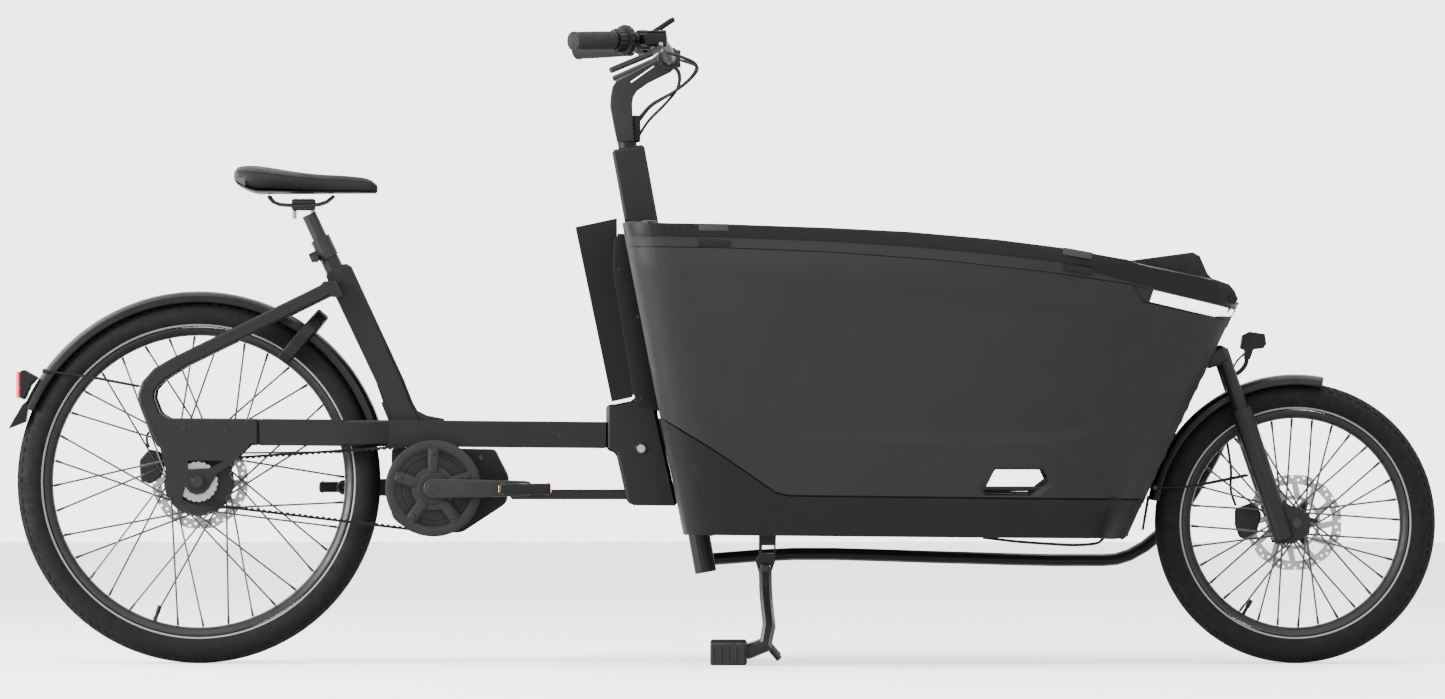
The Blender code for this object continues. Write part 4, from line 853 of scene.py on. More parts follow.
def wall(name, low, high, levels, thickness, material, floor=False, recess=True,
         only=None, pressed=False, soft=0.0, inset=0.0):
    """A wall round the box between two lines, with a thickness inward.

    only is the x that it starts from, on the sides. soft rounds its edges, and inset moves
    its sides in.
    """
    rows = []
    for level in range(levels):
        share = level / (levels - 1)
        guess = {"rear": 0.5, "front": 0.5}
        for _ in range(6):
            rear, front = box_rear(guess["rear"]), box_front(guess["front"])
            for end, x in (("rear", rear), ("front", front)):
                guess[end] = along(low, x) + share * (along(high, x) - along(low, x))
        row = []
        middle = 0.5 * (guess["rear"] + guess["front"])
        for x, y in plan(rear, front, half_width(middle), recess):
            z = along(low, x) + share * (along(high, x) - along(low, x))
            near = max(-0.03, min(0.03, half_width(z) - half_width(middle)))
            wide = y + near - inset if y > 0.1 else y
            if pressed and y > 0.1:
                wide -= panel_depth(x, z)
            row.append((x, wide, z))
        rows.append(row)
    first = 0
    if only is not None:
        first = next(k for k, (x, y, _) in enumerate(rows[0]) if x > only and y > 0.1)
    shape = bmesh.new()
    grid = []
    for row in rows:
        part = row[first:]
        other = part[:-1] if only is not None else part[1:-1]
        whole = part + [(x, -y, z) for x, y, z in reversed(other)]
        grid.append([shape.verts.new(point) for point in whole])
    count = len(grid[0])
    for lower, upper in zip(grid, grid[1:]):
        for k in range(count - (only is not None)):
            after = (k + 1) % count
            shape.faces.new((lower[k], lower[after], upper[after], upper[k]))
    if floor:
        fill_floor(shape, grid[0], low)
    obj = from_shape(name, shape, material)
    shell = obj.modifiers.new("shell", "SOLIDIFY")
    shell.thickness = thickness
    shell.offset = -1.0
    if soft:
        edges = obj.modifiers.new("soft", "BEVEL")
        edges.width = soft
        edges.segments = 3
        edges.limit_method = "ANGLE"
        edges.angle_limit = math.radians(50)
    applied(obj)
    smoothed(obj.data, 40)
    return obj


def cut(obj, *cutters):
    for other in cutters:
        hole = obj.modifiers.new("cut", "BOOLEAN")
        hole.object = other
        hole.operation = "DIFFERENCE"
        hole.solver = "EXACT"
    applied(obj)
    for other in cutters:
        bpy.data.objects.remove(other)
    return obj


def soft_block(name, size, centre, material, radius, segments=3, direction=(0, 0, 1)):
    """A box with rounded edges, whose third side lies along a direction."""
    shape = bmesh.new()
    bmesh.ops.create_cube(shape, size=1.0)
    bmesh.ops.scale(shape, vec=size, verts=shape.verts)
    bmesh.ops.bevel(shape, geom=shape.edges[:], offset=radius, segments=segments,
                    profile=0.5, affect="EDGES", clamp_overlap=True)
    place = Matrix.Translation(centre) @ turn_to(direction)
    return from_shape(name, shape, material, place)


def side_y(x, z):
    """The outside of the box's side at a point."""
    rear, front = box_rear(z), box_front(z)
    points = plan(rear, front, half_width(z), True)
    flank = [p for p in points if p.y > 0.1 and p.x < front - 0.02][6:]
    return float(np.interp(x, [p.x for p in flank], [p.y for p in flank]))


def box():
    shell = wall("tub", raised(SEAM, 0.0016), SHELL_TOP, 44, 0.004, BOX_FOAM, floor=True,
                 pressed=True)
    outline = rounded(STEP, 0.0055)
    pockets = [plate("pocket", outline, *sorted((side * 0.185, side * 0.36)), TRIM)
               for side in (-1, 1)]
    finish_piece(cut(shell, *pockets), "frame", "box_plastic", "box_shell")
    bench = soft_block("moulded_bench", (0.178, 0.388, 0.126), (0.105, 0, 0.3782), BOX_FOAM,
                       0.012)
    finish_piece(bench, "frame", "box_plastic")
    low = raised(SHELL_TOP[:5], 0.0012) + [(0.752, 0.6992), (0.947, 0.6548)]
    split = [(x, along(low, x) + 0.43 * (z - along(low, x))) for x, z in RIM_TOP[:6]]
    split += [(0.720, along(low, 0.720) + 0.006), (0.947, along(low, 0.947) + 0.001)]
    band = wall("rim_band", raised(split, 0.0004), RIM_TOP, 4, 0.014, TRIM, recess=False,
                soft=0.0028)
    finish_piece(band, "frame", "trim_plastic", "box_rim")
    lower = wall("rim_skirt", low, raised(split, 0.0008), 3, 0.0120, BOX_FOAM,
                 recess=False, inset=0.0012)
    finish_piece(lower, "frame", "box_plastic")
    liner = wall("rim_liner", raised(SHELL_TOP, -0.0120), raised(low, 0.0100), 3, 0.0040,
                 BOX_FOAM, recess=False, inset=0.0065)
    finish_piece(liner, "frame", "box_plastic")
    liner = wall("seam_liner", raised(SEAM, -0.0080), raised(SEAM, 0.0080), 3, 0.0025, TRIM,
                 recess=False, inset=0.0050)
    finish_piece(liner, "frame", "trim_plastic")
    deck = [(0.740, 0.712), (0.742, 0.7425), (0.865, 0.7590), (0.878, 0.752)]
    deck += [(0.892, 0.720), (0.900, 0.711), (0.932, 0.700), (0.942, 0.688)]
    deck += [(0.9485, 0.672), (0.9420, 0.6635), (0.760, 0.7040)]
    nose = plate("nose_deck", deck, -0.150, 0.150, TRIM, bevel=0.0030, segments=3)
    finish_piece(nose, "frame", "trim_plastic")
    strip = wall("light_guide", [(0.766, 0.6715), (0.940, 0.6320)],
                 [(0.766, 0.6940), (0.947, 0.6520)], 3, 0.006, WHITE, recess=False,
                 only=0.770, soft=0.0012)
    finish_piece(strip, "frame", "white_lens", "light_strip")
    skirt = wall("skirt_panel", SKIRT_LOW, raised(SEAM, -0.0016), 10, 0.0035, SKIRT)
    ways = [soft_block("way", (0.110, 0.064, 0.085), (0.652, 0, 0.2715), TRIM, 0.004),
            soft_block("way", (0.050, 0.072, 0.110), (0.006, 0, 0.2900), TRIM, 0.004)]
    finish_piece(cut(skirt, *ways), "frame", "skirt_plastic", "box_skirt")


def box_details():
    """Clip pads on the rim with dark blocks of painted shade for the slots below them, the strap
    and the mat.
    """
    for side, word in ((-1, "right"), (1, "left")):
        for name, x, z, long in (("rear", -0.015, 0.803, 0.054), ("front", 0.649, 0.7555, 0.054)):
            lean = along(RIM_TOP, x + 0.02) - along(RIM_TOP, x - 0.02)
            y = side * (side_y(x, z) - 0.0005)
            pad = soft_block(f"clip_pad_{name}_{word}", (0.013, 0.0035, long), (x, y, z),
                             PAD_GREY, 0.0012, direction=(0.04, 0, lean))
            finish_piece(pad, "frame", "trim_plastic")
            # Below each pad a thin near-black block stands for its slot: painted shade in place
            # of the slot's hollow.
            slot_z = z - 0.029
            y = side * (side_y(x, slot_z) - 0.0006)
            slot_shade_block = soft_block(f"clip_slot_shade_{name}_{word}", (0.012, 0.0022, long + 0.004),
                                (x, y, slot_z), TRIM, 0.0008, direction=(0.04, 0, lean))
            finish_piece(slot_shade_block, "frame", "trim_plastic")
    mat = soft_block("floor_mat", (0.440, 0.300, 0.004), (0.460, 0, 0.3215), GRIP, 0.0015)
    finish_piece(mat, "frame", "soft_rubber")
    ribs = bmesh.new()
    for k in range(15):
        y = -0.140 + 0.020 * k
        bevelled_rod(ribs, (0.250, y, 0.3232), (0.670, y, 0.3232), 0.0022, 0.0008, 8)
    finish_piece(from_shape("floor_mat_ribs", ribs, GRIP), "frame", "soft_rubber")
    strap = swept("strap", spline([(-0.118, -0.262, 0.776), (-0.150, -0.262, 0.800),
                                   (-0.146, -0.256, 0.8125), (-0.120, -0.252, 0.8135)], 14),
                  0.0022, FABRIC, 8)
    finish_piece(strap, "frame", "trim_plastic")


box()
box_details()


# Fenders ----------------------------------------------------------------------------


def fender(name, axle, radius, depth, half, start, sweep, body, slot_name):
    """A curved guard with rounded shoulders and rolled lips."""
    lip = radius - depth
    outer = [(lip, -half), (lip + 0.004, -half + 0.0004), (lip + depth * 0.55, -half + 0.0020),
             (radius - 0.0030, -half * 0.72), (radius - 0.0008, -half * 0.45),
             (radius, -half * 0.18), (radius, 0.0)]
    outer += [(r, -y) for r, y in reversed(outer[:-1])]
    inner = [(r - 0.0022, y * 0.945) for r, y in reversed(outer)]
    steps = 96
    rows = []
    for k in range(steps + 1):
        a = math.radians(start + sweep * k / steps)
        rows.append([(r * math.cos(a), y, r * math.sin(a)) for r, y in outer + inner])
    shape = bmesh.new()
    verts = grid_faces(shape, rows)
    shape.faces.new(verts[0])
    shape.faces.new(verts[-1])
    guard = from_shape(name + "_guard", shape, FENDER, Matrix.Translation(axle), 40)
    return finish_piece(guard, body, slot_name, name)


def fender_stays(name, points, body):
    """Two wires, each with a screw at the guard."""
    for side, word in ((-1, "right"), (1, "left")):
        knots = [(x, side * y, z) for x, y, z in points]
        wire = swept(f"{name}_stay_{word}", spline(knots, 18), 0.0021, TRIM, 10)
        finish_piece(wire, body, "trim_plastic")
        x, y, z = knots[0]
        shape = bmesh.new()
        bevelled_rod(shape, (x, y - side * 0.003, z), (x, y + side * 0.0026, z), 0.0048, 0.0008)
        finish_piece(from_shape(f"{name}_screw_{word}", shape, DARK_STEEL), body, "bare_steel")


def both_fenders():
    fender("rear_fender", REAR_AXLE, 0.3518, 0.019, 0.0345, 16, 141, "frame", "trim_plastic")
    flap = [(-1.2835, 0.486), (-1.2930, 0.478), (-1.3170, 0.437), (-1.3188, 0.4335)]
    flap += [(-1.2875, 0.446), (-1.2825, 0.474)]
    finish_piece(plate("rear_flap", flap, -0.030, 0.030, FENDER, bevel=0.0010), "frame",
                 "trim_plastic")
    fender_stays("rear_fender", [(-1.251, 0.0345, 0.540), (-1.180, 0.0395, 0.531),
                                 (-1.115, 0.0435, 0.519), (-1.0785, 0.0465, 0.512)], "frame")
    fender("front_fender", FRONT_AXLE, 0.2748, 0.018, 0.034, 79, 92, "fork_slider",
           "trim_plastic")
    flap = [(0.7870, 0.310), (0.7762, 0.246), (0.7795, 0.2462), (0.7905, 0.308)]
    finish_piece(plate("front_flap", flap, -0.026, 0.026, FENDER, bevel=0.0006), "fork_slider",
                 "trim_plastic")
    fender_stays("front_fender", [(0.800, 0.0335, 0.325), (0.862, 0.0395, 0.327),
                                  (0.925, 0.0435, 0.338), (0.9720, 0.0460, 0.348)],
                 "fork_slider")


both_fenders()


# Saddle and cushion -----------------------------------------------------------------

# Stations from the back to the nose: x, half width, top and bottom
SADDLE = [(-0.9015, 0.040, 0.908, 0.893), (-0.892, 0.078, 0.918, 0.882)]
SADDLE += [(-0.862, 0.092, 0.920, 0.8690), (-0.825, 0.086, 0.915, 0.8680)]
SADDLE += [(-0.780, 0.058, 0.908, 0.8680), (-0.740, 0.036, 0.904, 0.8680)]
SADDLE += [(-0.690, 0.026, 0.901, 0.8685), (-0.655, 0.022, 0.896, 0.8685)]
SADDLE += [(-0.6375, 0.012, 0.884, 0.8690)]


def lofted(name, rows, material, degrees=45):
    shape = bmesh.new()
    verts = grid_faces(shape, rows)
    shape.faces.new(verts[0])
    shape.faces.new(verts[-1])
    return from_shape(name, shape, material, None, degrees)


def saddle():
    """The padded cover over its base, with a channel, a piping line and a bumper."""
    section = [(-0.86, 0.18), (-1.0, 0.40), (-0.95, 0.74), (-0.70, 0.93), (-0.40, 0.99)]
    section += [(-0.16, 0.975), (0.0, 0.90)]
    section += [(-y, z) for y, z in reversed(section[:-1])]
    section = spline(section, 40)
    under = spline([(0.86, 0.18), (0.60, 0.12), (0.0, 0.10), (-0.60, 0.12), (-0.86, 0.18)], 10)
    cover_rows, base_rows = [], []
    for x, half, top, low in spline(SADDLE, 48):
        height = top - low
        row = [(x, p.x * half, low + p.y * height) for p in section]
        row += [(x, p.x * half, low + p.y * height) for p in under[1:-1]]
        cover_rows.append(row)
        base_rows.append([(x, half * 0.90 * math.cos(a), low + height * 0.10 + height * 0.12
                           * math.sin(a)) for a in (math.tau * k / 24 for k in range(24))])
    cover = lofted("saddle_cover", cover_rows, LEATHER, 60)
    finish_piece(cover, "seat", "seat_cover", "saddle")
    finish_piece(lofted("saddle_base", base_rows[1:-1], TRIM), "seat", "trim_plastic")
    loop = []
    stations = spline(SADDLE, 48)[1:]
    for side in (-1, 1):
        part = [(x, side * half * 0.952, low + 0.735 * (top - low)) for x, half, top, low
                in stations]
        loop += part if side < 0 else part[::-1]
    piping = swept("saddle_piping", loop, 0.0007, TRIM, 6)
    finish_piece(piping, "seat", "seat_cover")
    bumper = []
    for x, half, top, low in stations[3:9]:
        bumper.append([(x, side_y_, low + z) for side_y_, z in
                       ((-half * 0.985, 0.006), (-half * 1.006, 0.012), (-half * 1.000, 0.022),
                        (-half * 0.960, 0.014))])
    finish_piece(lofted("saddle_bumper", bumper, PAD_GREY), "seat", "trim_plastic")


saddle()


def seat_post_details():
    """The collar's screw, and the clamp bolts."""
    shape = bmesh.new()
    for x, z in ((-0.791, 0.8340), (-0.757, 0.8400)):
        bevelled_rod(shape, (x, 0, z - 0.012), (x, 0, z + 0.003), 0.0042, 0.0008, 6)
    finish_piece(from_shape("saddle_bolts", shape, STEEL), "seat", "bare_steel")
    shape = bmesh.new()
    bevelled_rod(shape, (-0.752, -0.026, 0.748), (-0.752, 0.026, 0.748), 0.0068, 0.0012)
    finish_piece(from_shape("collar_screw", shape, ALLOY), "frame", "black_metal")


seat_post_details()


def settled(cushion):
    """Foam pressing outward in its cover, held to a real cushion's small bulge."""
    rest = np.array([v.co for v in cushion.data.vertices])
    cloth = cushion.modifiers.new("cloth", "CLOTH")
    cloth.settings.quality = 6
    cloth.settings.mass = 0.2
    cloth.settings.use_pressure = True
    cloth.settings.uniform_pressure_force = 4.0
    cloth.settings.effector_weights.gravity = 0.0
    cloth.point_cache.frame_start = 1
    cloth.point_cache.frame_end = 20
    scene = bpy.context.scene
    for frame_number in range(1, 21):
        scene.frame_set(frame_number)
    graph = bpy.context.evaluated_depsgraph_get()
    mesh = bpy.data.meshes.new_from_object(cushion.evaluated_get(graph))
    scene.frame_set(1)
    cushion.modifiers.clear()
    moved = np.array([v.co for v in mesh.vertices]) - rest
    moved -= moved.mean(axis=0)
    size = np.linalg.norm(moved, axis=1, keepdims=True)
    limit = 0.006
    moved *= np.minimum(1.0, limit / np.maximum(size, 1e-9))
    # The underside stays flat on the bench
    weight = np.clip((rest[:, 2:3] - rest[:, 2].min()) / 0.012, 0.0, 1.0)
    cushion.data = mesh
    for vert, point in zip(mesh.vertices, rest + moved * weight):
        vert.co = point
    return cushion


def bench_cushion():
    """A flat cushion with a quilted channel down its middle and piping round its edge."""
    low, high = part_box("bench_cushion")
    size = high - low
    inset = Vector((0.004, 0.004, 0.003))
    block = soft_block("bench_pad", size - 2 * inset, (low + high) / 2, FABRIC, 0.018, 5)
    remesh = block.modifiers.new("even", "REMESH")
    remesh.mode = "VOXEL"
    remesh.voxel_size = 0.005
    block.data.transform(block.matrix_world)
    block.matrix_world = Matrix.Identity(4)
    applied(block)
    middle = (low + high) / 2
    for vert in block.data.vertices:
        if vert.co.z > middle.z:
            for line in (-size.y / 6, size.y / 6):
                away = abs(vert.co.y - line) / 0.010
                vert.co.z -= 0.0045 * math.exp(-away * away)
    settled(block)
    block.data.materials.clear()
    block.data.materials.append(FABRIC)
    finer = block.modifiers.new("finer", "SUBSURF")
    finer.levels = finer.render_levels = 1
    applied(block)
    block.data.shade_smooth()
    finish_piece(block, "frame", "cushion_fabric", "bench_cushion")
    corners = [(low.x + 0.004, low.y + 0.004), (high.x - 0.004, low.y + 0.004),
               (high.x - 0.004, high.y - 0.004), (low.x + 0.004, high.y - 0.004)]
    edge = rounded(corners, 0.018, 6)
    path = [(x, y, middle.z - 0.002) for x, y in [*edge, edge[0]]]
    finish_piece(swept("bench_piping", path, 0.0022, TRIM, 8), "frame", "cushion_fabric")


bench_cushion()


# Drive ------------------------------------------------------------------------------

BELT_PITCH = 0.011
BELT_THICKNESS = 0.0042
FRONT_TEETH = 46
REAR_TEETH = 23
GUARD_RADIUS = 0.089
CRANK_LENGTH = 0.170
PEDAL_Y = 0.155


def pulley_radius(teeth):
    return teeth * BELT_PITCH / math.tau


def pitch_line(margin):
    """Points (x, z) of the line round both pulleys, margin outside their pitch lines."""
    big, small = pulley_radius(FRONT_TEETH) + margin, pulley_radius(REAR_TEETH) + margin
    back = REAR_AXLE - CRANK
    lean = math.degrees(math.atan2(back.z, back.x))
    tilt = math.degrees(math.acos((big - small) / back.length))
    front = arc(CRANK, big, 90, lean + tilt, 359.9 - 2 * tilt)
    return front + arc(REAR_AXLE, small, 50, lean - tilt, 2 * tilt)


def toothed_belt():
    line = [Vector(p) for p in pitch_line(0.0)]
    line.append(line[0])
    reach = [0.0]
    for a, b in zip(line, line[1:]):
        reach.append(reach[-1] + (b - a).length)
    teeth = round(reach[-1] / BELT_PITCH)
    count = teeth * 8
    xs, zs = [p.x for p in line], [p.y for p in line]
    middle = []
    for k in range(count):
        at = reach[-1] * k / count
        middle.append(Vector((np.interp(at, reach, xs), np.interp(at, reach, zs))))
    half, wide = BELT_THICKNESS / 2, (BELT_HIGH.y - BELT_LOW.y) / 2
    centre_y = (BELT_HIGH.y + BELT_LOW.y) / 2
    rows = []
    for k, point in enumerate(middle):
        ahead = (middle[(k + 1) % count] - middle[k - 1]).normalized()
        out = Vector((ahead.y, -ahead.x))
        depth = half + (0.0022 if k % 8 in (0, 1, 2, 3) else 0.0002)
        row = []
        for level, y in ((half - 0.0006, -wide), (half, -wide + 0.0008), (half, wide - 0.0008),
                         (half - 0.0006, wide), (-depth, wide), (-depth, -wide)):
            spot = point + out * level
            row.append((spot.x, centre_y + y, spot.y))
        rows.append(row)
    shape = bmesh.new()
    grid_faces(shape, rows, closed_rows=True)
    finish_piece(from_shape("toothed_belt", shape, TYRE, None, 30), "frame", "tyre_rubber",
                 "belt")


def pulley(name, centre, teeth, hole, body, material, slot_name):
    low = pulley_radius(teeth) - BELT_THICKNESS / 2 - 0.0008
    outline = []
    for k in range(teeth):
        for part, depth in ((0.0, 0.0024), (0.10, 0.0024), (0.28, 0.0), (0.45, 0.0),
                            (0.60, 0.0), (0.80, 0.0)):
            a = math.tau * (k + part) / teeth
            r = low - depth
            outline.append((centre.x + r * math.cos(a), centre.z + r * math.sin(a)))
    rim = plate(name + "_teeth", outline, BELT_LOW.y - 0.0004, BELT_HIGH.y, material,
                [arc(centre, hole, 48)])
    return finish_piece(rim, body, slot_name, name)


def crank_arm(name, direction, low_y, high_y):
    """A forged arm that tapers to the pedal."""
    tip = CRANK.x + direction * CRANK_LENGTH
    back = 90 if direction > 0 else -90
    outline = arc(CRANK, 0.0185, 20, back, 180)
    outline += arc((tip, CRANK.z), 0.0140, 20, back + 180, 180)
    arm = plate(name, outline, low_y, high_y, ALLOY, [arc((tip, CRANK.z), 0.0052, 20)],
                bevel=0.0032, segments=3)
    return finish_piece(arm, "crank", "black_metal")


def crank_guard():
    windows = []
    for k in range(5):
        middle = 54 + 72 * k
        outer = arc(CRANK, 0.0705, 14, middle - 27, 54)
        inner = arc(CRANK, 0.0400, 8, middle + 21, -42)
        windows.append(outer + inner)
    guard = plate("crank_guard", arc(CRANK, GUARD_RADIUS, 128), -0.0770, -0.0738, ALLOY,
                  windows, bevel=0.0009, segments=2)
    finish_piece(guard, "crank", "black_metal", "crankset")
    ring = [(0.0735, -0.0772), (0.0735, -0.0785), (0.0760, -0.0795), (0.0845, -0.0795),
            (0.0868, -0.0785), (0.0868, -0.0772)]
    finish_piece(turned("guard_ridge", ring, 128, ALLOY, (CRANK.x, 0, CRANK.z)), "crank",
                 "black_metal")
    for k in range(5):
        a = math.radians(18 + 72 * k)
        out = Vector((math.cos(a), 0, math.sin(a)))
        start = Vector((CRANK.x, -0.0768, CRANK.z)) + out * 0.028
        end = Vector((CRANK.x, -0.0768, CRANK.z)) + out * 0.074
        arm = soft_block(f"guard_arm_{k}", (0.017, 0.0052, (end - start).length),
                         (start + end) / 2, ALLOY, 0.0018, direction=out)
        finish_piece(arm, "crank", "black_metal")
        bolt = bmesh.new()
        spot = Vector((CRANK.x, 0, CRANK.z)) + out * 0.0640
        bevelled_rod(bolt, spot + Vector((0, -0.0815, 0)), spot + Vector((0, -0.0470, 0)),
                     0.0042, 0.0007, 20)
        finish_piece(from_shape(f"guard_bolt_{k}", bolt, DARK_STEEL), "crank", "bare_steel")
    hub = [(0.0130, -0.0470), (0.0300, -0.0470), (0.0300, -0.0780), (0.0280, -0.0800),
           (0.0130, -0.0800)]
    place = (CRANK.x, 0, CRANK.z)
    finish_piece(turned("spider_hub", hub, 64, ALLOY, place), "crank", "black_metal")
    disc = [(0.0280, -0.0600), (0.0595, -0.0600), (0.0595, -0.0480), (0.0280, -0.0480)]
    finish_piece(turned("pulley_carrier", disc, 96, ALLOY, place), "crank", "black_metal")
    shape = bmesh.new()
    bevelled_rod(shape, (CRANK.x, -0.0950, CRANK.z), (CRANK.x, 0.0950, CRANK.z), 0.0125, 0.001)
    bevelled_rod(shape, (CRANK.x, -0.1026, CRANK.z), (CRANK.x, -0.0900, CRANK.z), 0.0105, 0.001)
    bevelled_rod(shape, (CRANK.x, 0.0900, CRANK.z), (CRANK.x, 0.1026, CRANK.z), 0.0105, 0.001)
    finish_piece(from_shape("crank_axle", shape, DARK_STEEL), "crank", "bare_steel")


def pedals():
    """A platform on an axle, with pins and amber reflectors."""
    for name, direction, side in (("pedal_right", 1, -1), ("pedal_left", -1, 1)):
        body = "right_pedal" if side < 0 else "left_pedal"
        x, z = CRANK.x + direction * CRANK_LENGTH, CRANK.z
        place = Matrix.Translation((x, side * PEDAL_Y, z))
        outline = rounded([(-0.047, -0.045), (0.047, -0.045), (0.047, 0.045), (-0.047, 0.045)],
                          0.006, 4)
        holes = []
        for step in (-1, 1):
            a, b = step * 0.026 - 0.012, step * 0.026 + 0.012
            holes.append(rounded([(a, -0.033), (b, -0.033), (b, 0.033), (a, 0.033)], 0.005, 3))
        cage = plate(name + "_cage", outline, -0.0095, 0.0095, TRIM, holes, bevel=0.0018)
        cage.matrix_world = place @ Matrix.Rotation(math.radians(-90), 4, "X")
        finish_piece(cage, body, "trim_plastic", name)
        shape = bmesh.new()
        for step in (-1, 1):
            for k in range(6):
                y = side * PEDAL_Y - 0.034 + 0.0136 * k
                bevelled_rod(shape, (x + step * 0.042, y, z - 0.0108),
                             (x + step * 0.042, y, z + 0.0108), 0.0020, 0.0005, 12)
        inner, outer = sorted((side * 0.0880, side * 0.198))
        bevelled_rod(shape, (x, inner, z), (x, outer, z), 0.0048, 0.0008)
        finish_piece(from_shape(name + "_axle", shape, DARK_STEEL), body, "bare_steel")
        # Each reflector's faint glow is painted light, not a lamp.
        for step in (-1, 1):
            plate_x = x + step * 0.0472
            lens_block = soft_block(f"{name}_reflector_{'fore' if step > 0 else 'aft'}",
                                    (0.0022, 0.052, 0.0120), (plate_x, side * PEDAL_Y, z),
                                    AMBER_PAINTED_GLOW, 0.0008)
            finish_piece(lens_block, body, "trim_plastic")


toothed_belt()
pulley("front_pulley", CRANK, FRONT_TEETH, 0.060, "crank", ALLOY, "black_metal")
pulley("rear_pulley", REAR_AXLE, REAR_TEETH, 0.0075, "rear_drive", STEEL, "bare_steel")
crank_guard()
crank_arm("right_crank_arm", 1, -0.1020, -0.0780)
crank_arm("left_crank_arm", -1, 0.0880, 0.1020)
pedals()


# Handlebar --------------------------------------------------------------------------

GRIP_START = Vector((-0.168, 0.245, 1.146))
GRIP_END = Vector((-0.272, 0.335, 1.142))


def grip_point(share, side):
    point = GRIP_START.lerp(GRIP_END, share)
    return Vector((point.x, side * point.y, point.z))


def lathe_along(name, start, end, profile, material, sides=48, lobes=0, lobe=0.0):
    """A (share, radius) profile turned about a line, with perhaps some lobes round it."""
    start, end = Vector(start), Vector(end)
    lean = turn_to(end - start).to_3x3()
    rows = []
    for share, radius in profile:
        row = []
        for k in range(sides):
            a = math.tau * k / sides
            r = radius + lobe * (0.5 + 0.5 * math.cos(lobes * a)) * (radius > 0.019)
            row.append(start.lerp(end, share) + lean @ Vector((r * math.cos(a),
                                                               r * math.sin(a), 0)))
        rows.append(row)
    return lofted(name, rows, material, 50)


def grips():
    """Ribbed grips that flare at the end, each with its clamp ring."""
    for name, side, start in (("grip_left", 1, 0.02), ("grip_right", -1, 0.30)):
        a, b = grip_point(start, side), grip_point(1.0, side)
        ribs = []
        count = 26 if start > 0.1 else 38
        for k in range(count):
            share = 0.07 + 0.84 * k / (count - 1)
            swell = 0.0162 + 0.0006 * math.sin(share * math.pi)
            ribs.append((share, swell + (0.0006 if k % 2 else 0.0)))
        profile = [(0.0, 0.0150), (0.004, 0.0163), (0.060, 0.0163), (0.066, 0.0155)]
        profile += ribs + [(0.93, 0.0168), (0.955, 0.0176), (0.985, 0.0178), (1.0, 0.0160)]
        finish_piece(lathe_along(name + "_sleeve", a, b, profile, GRIP), "steering",
                     "soft_rubber", name)
        ring = [(0.0, 0.0168), (0.1, 0.0174), (0.9, 0.0174), (1.0, 0.0168)]
        finish_piece(lathe_along(name + "_ring", a.lerp(b, 0.012), a.lerp(b, 0.055), ring,
                                 ALLOY), "steering", "black_metal")


def shifter():
    """The twist shifter's barrel with a knurled half and its collar."""
    a, b = grip_point(0.03, -1), grip_point(0.285, -1)
    profile = [(0.0, 0.0190), (0.03, 0.0250), (0.14, 0.0275), (0.36, 0.0270), (0.44, 0.0210)]
    profile += [(0.48, 0.0196), (0.52, 0.0214), (0.90, 0.0206), (0.97, 0.0196), (1.0, 0.0172)]
    finish_piece(lathe_along("shifter_barrel", a, b, profile, TRIM, 96, 16, 0.0012), "shifter",
                 "trim_plastic", "twist_shifter")


def bar_cables():
    """The hose and wires that leave the bar together and drop into the column."""
    first = [(-0.0985, 0.200, 1.125), (-0.070, 0.170, 1.117), (-0.046, 0.120, 1.105),
             (-0.056, 0.070, 1.085), (-0.085, 0.030, 1.060), (-0.128, 0.006, 1.035),
             (-0.150, 0.003, 1.012), (-0.1585, 0.003, 0.998)]
    hose = swept("left_brake_hose", spline(first, 60), 0.0028, GRIP, 12)
    finish_piece(hose, "steering", "soft_rubber", "bar_hose")
    second = [(-0.1000, -0.200, 1.124), (-0.074, -0.168, 1.117), (-0.048, -0.120, 1.104),
              (-0.056, -0.070, 1.083), (-0.086, -0.028, 1.058), (-0.129, -0.005, 1.032),
              (-0.150, -0.004, 1.008), (-0.1585, -0.004, 0.9950)]
    third = [(-0.1120, -0.040, 1.108), (-0.093, -0.034, 1.104), (-0.080, -0.026, 1.088),
             (-0.083, -0.018, 1.062), (-0.105, -0.012, 1.034), (-0.138, -0.006, 1.000),
             (-0.1575, -0.004, 0.968)]
    fourth = [(x + 0.0015, 0.012 - y * 0.2, z + 0.003) for x, y, z in third]
    for name, knots, radius in (("right_brake_hose", second, 0.0030),
                                ("display_wire", third, 0.0026),
                                ("light_wire", fourth, 0.0024)):
        finish_piece(swept(name, spline(knots, 60), radius, GRIP, 10), "steering",
                     "soft_rubber")
    guide = soft_block("cable_guide", (0.016, 0.024, 0.050), (-0.1590, 0, 0.9880), TRIM, 0.004)
    finish_piece(guide, "steering", "trim_plastic")


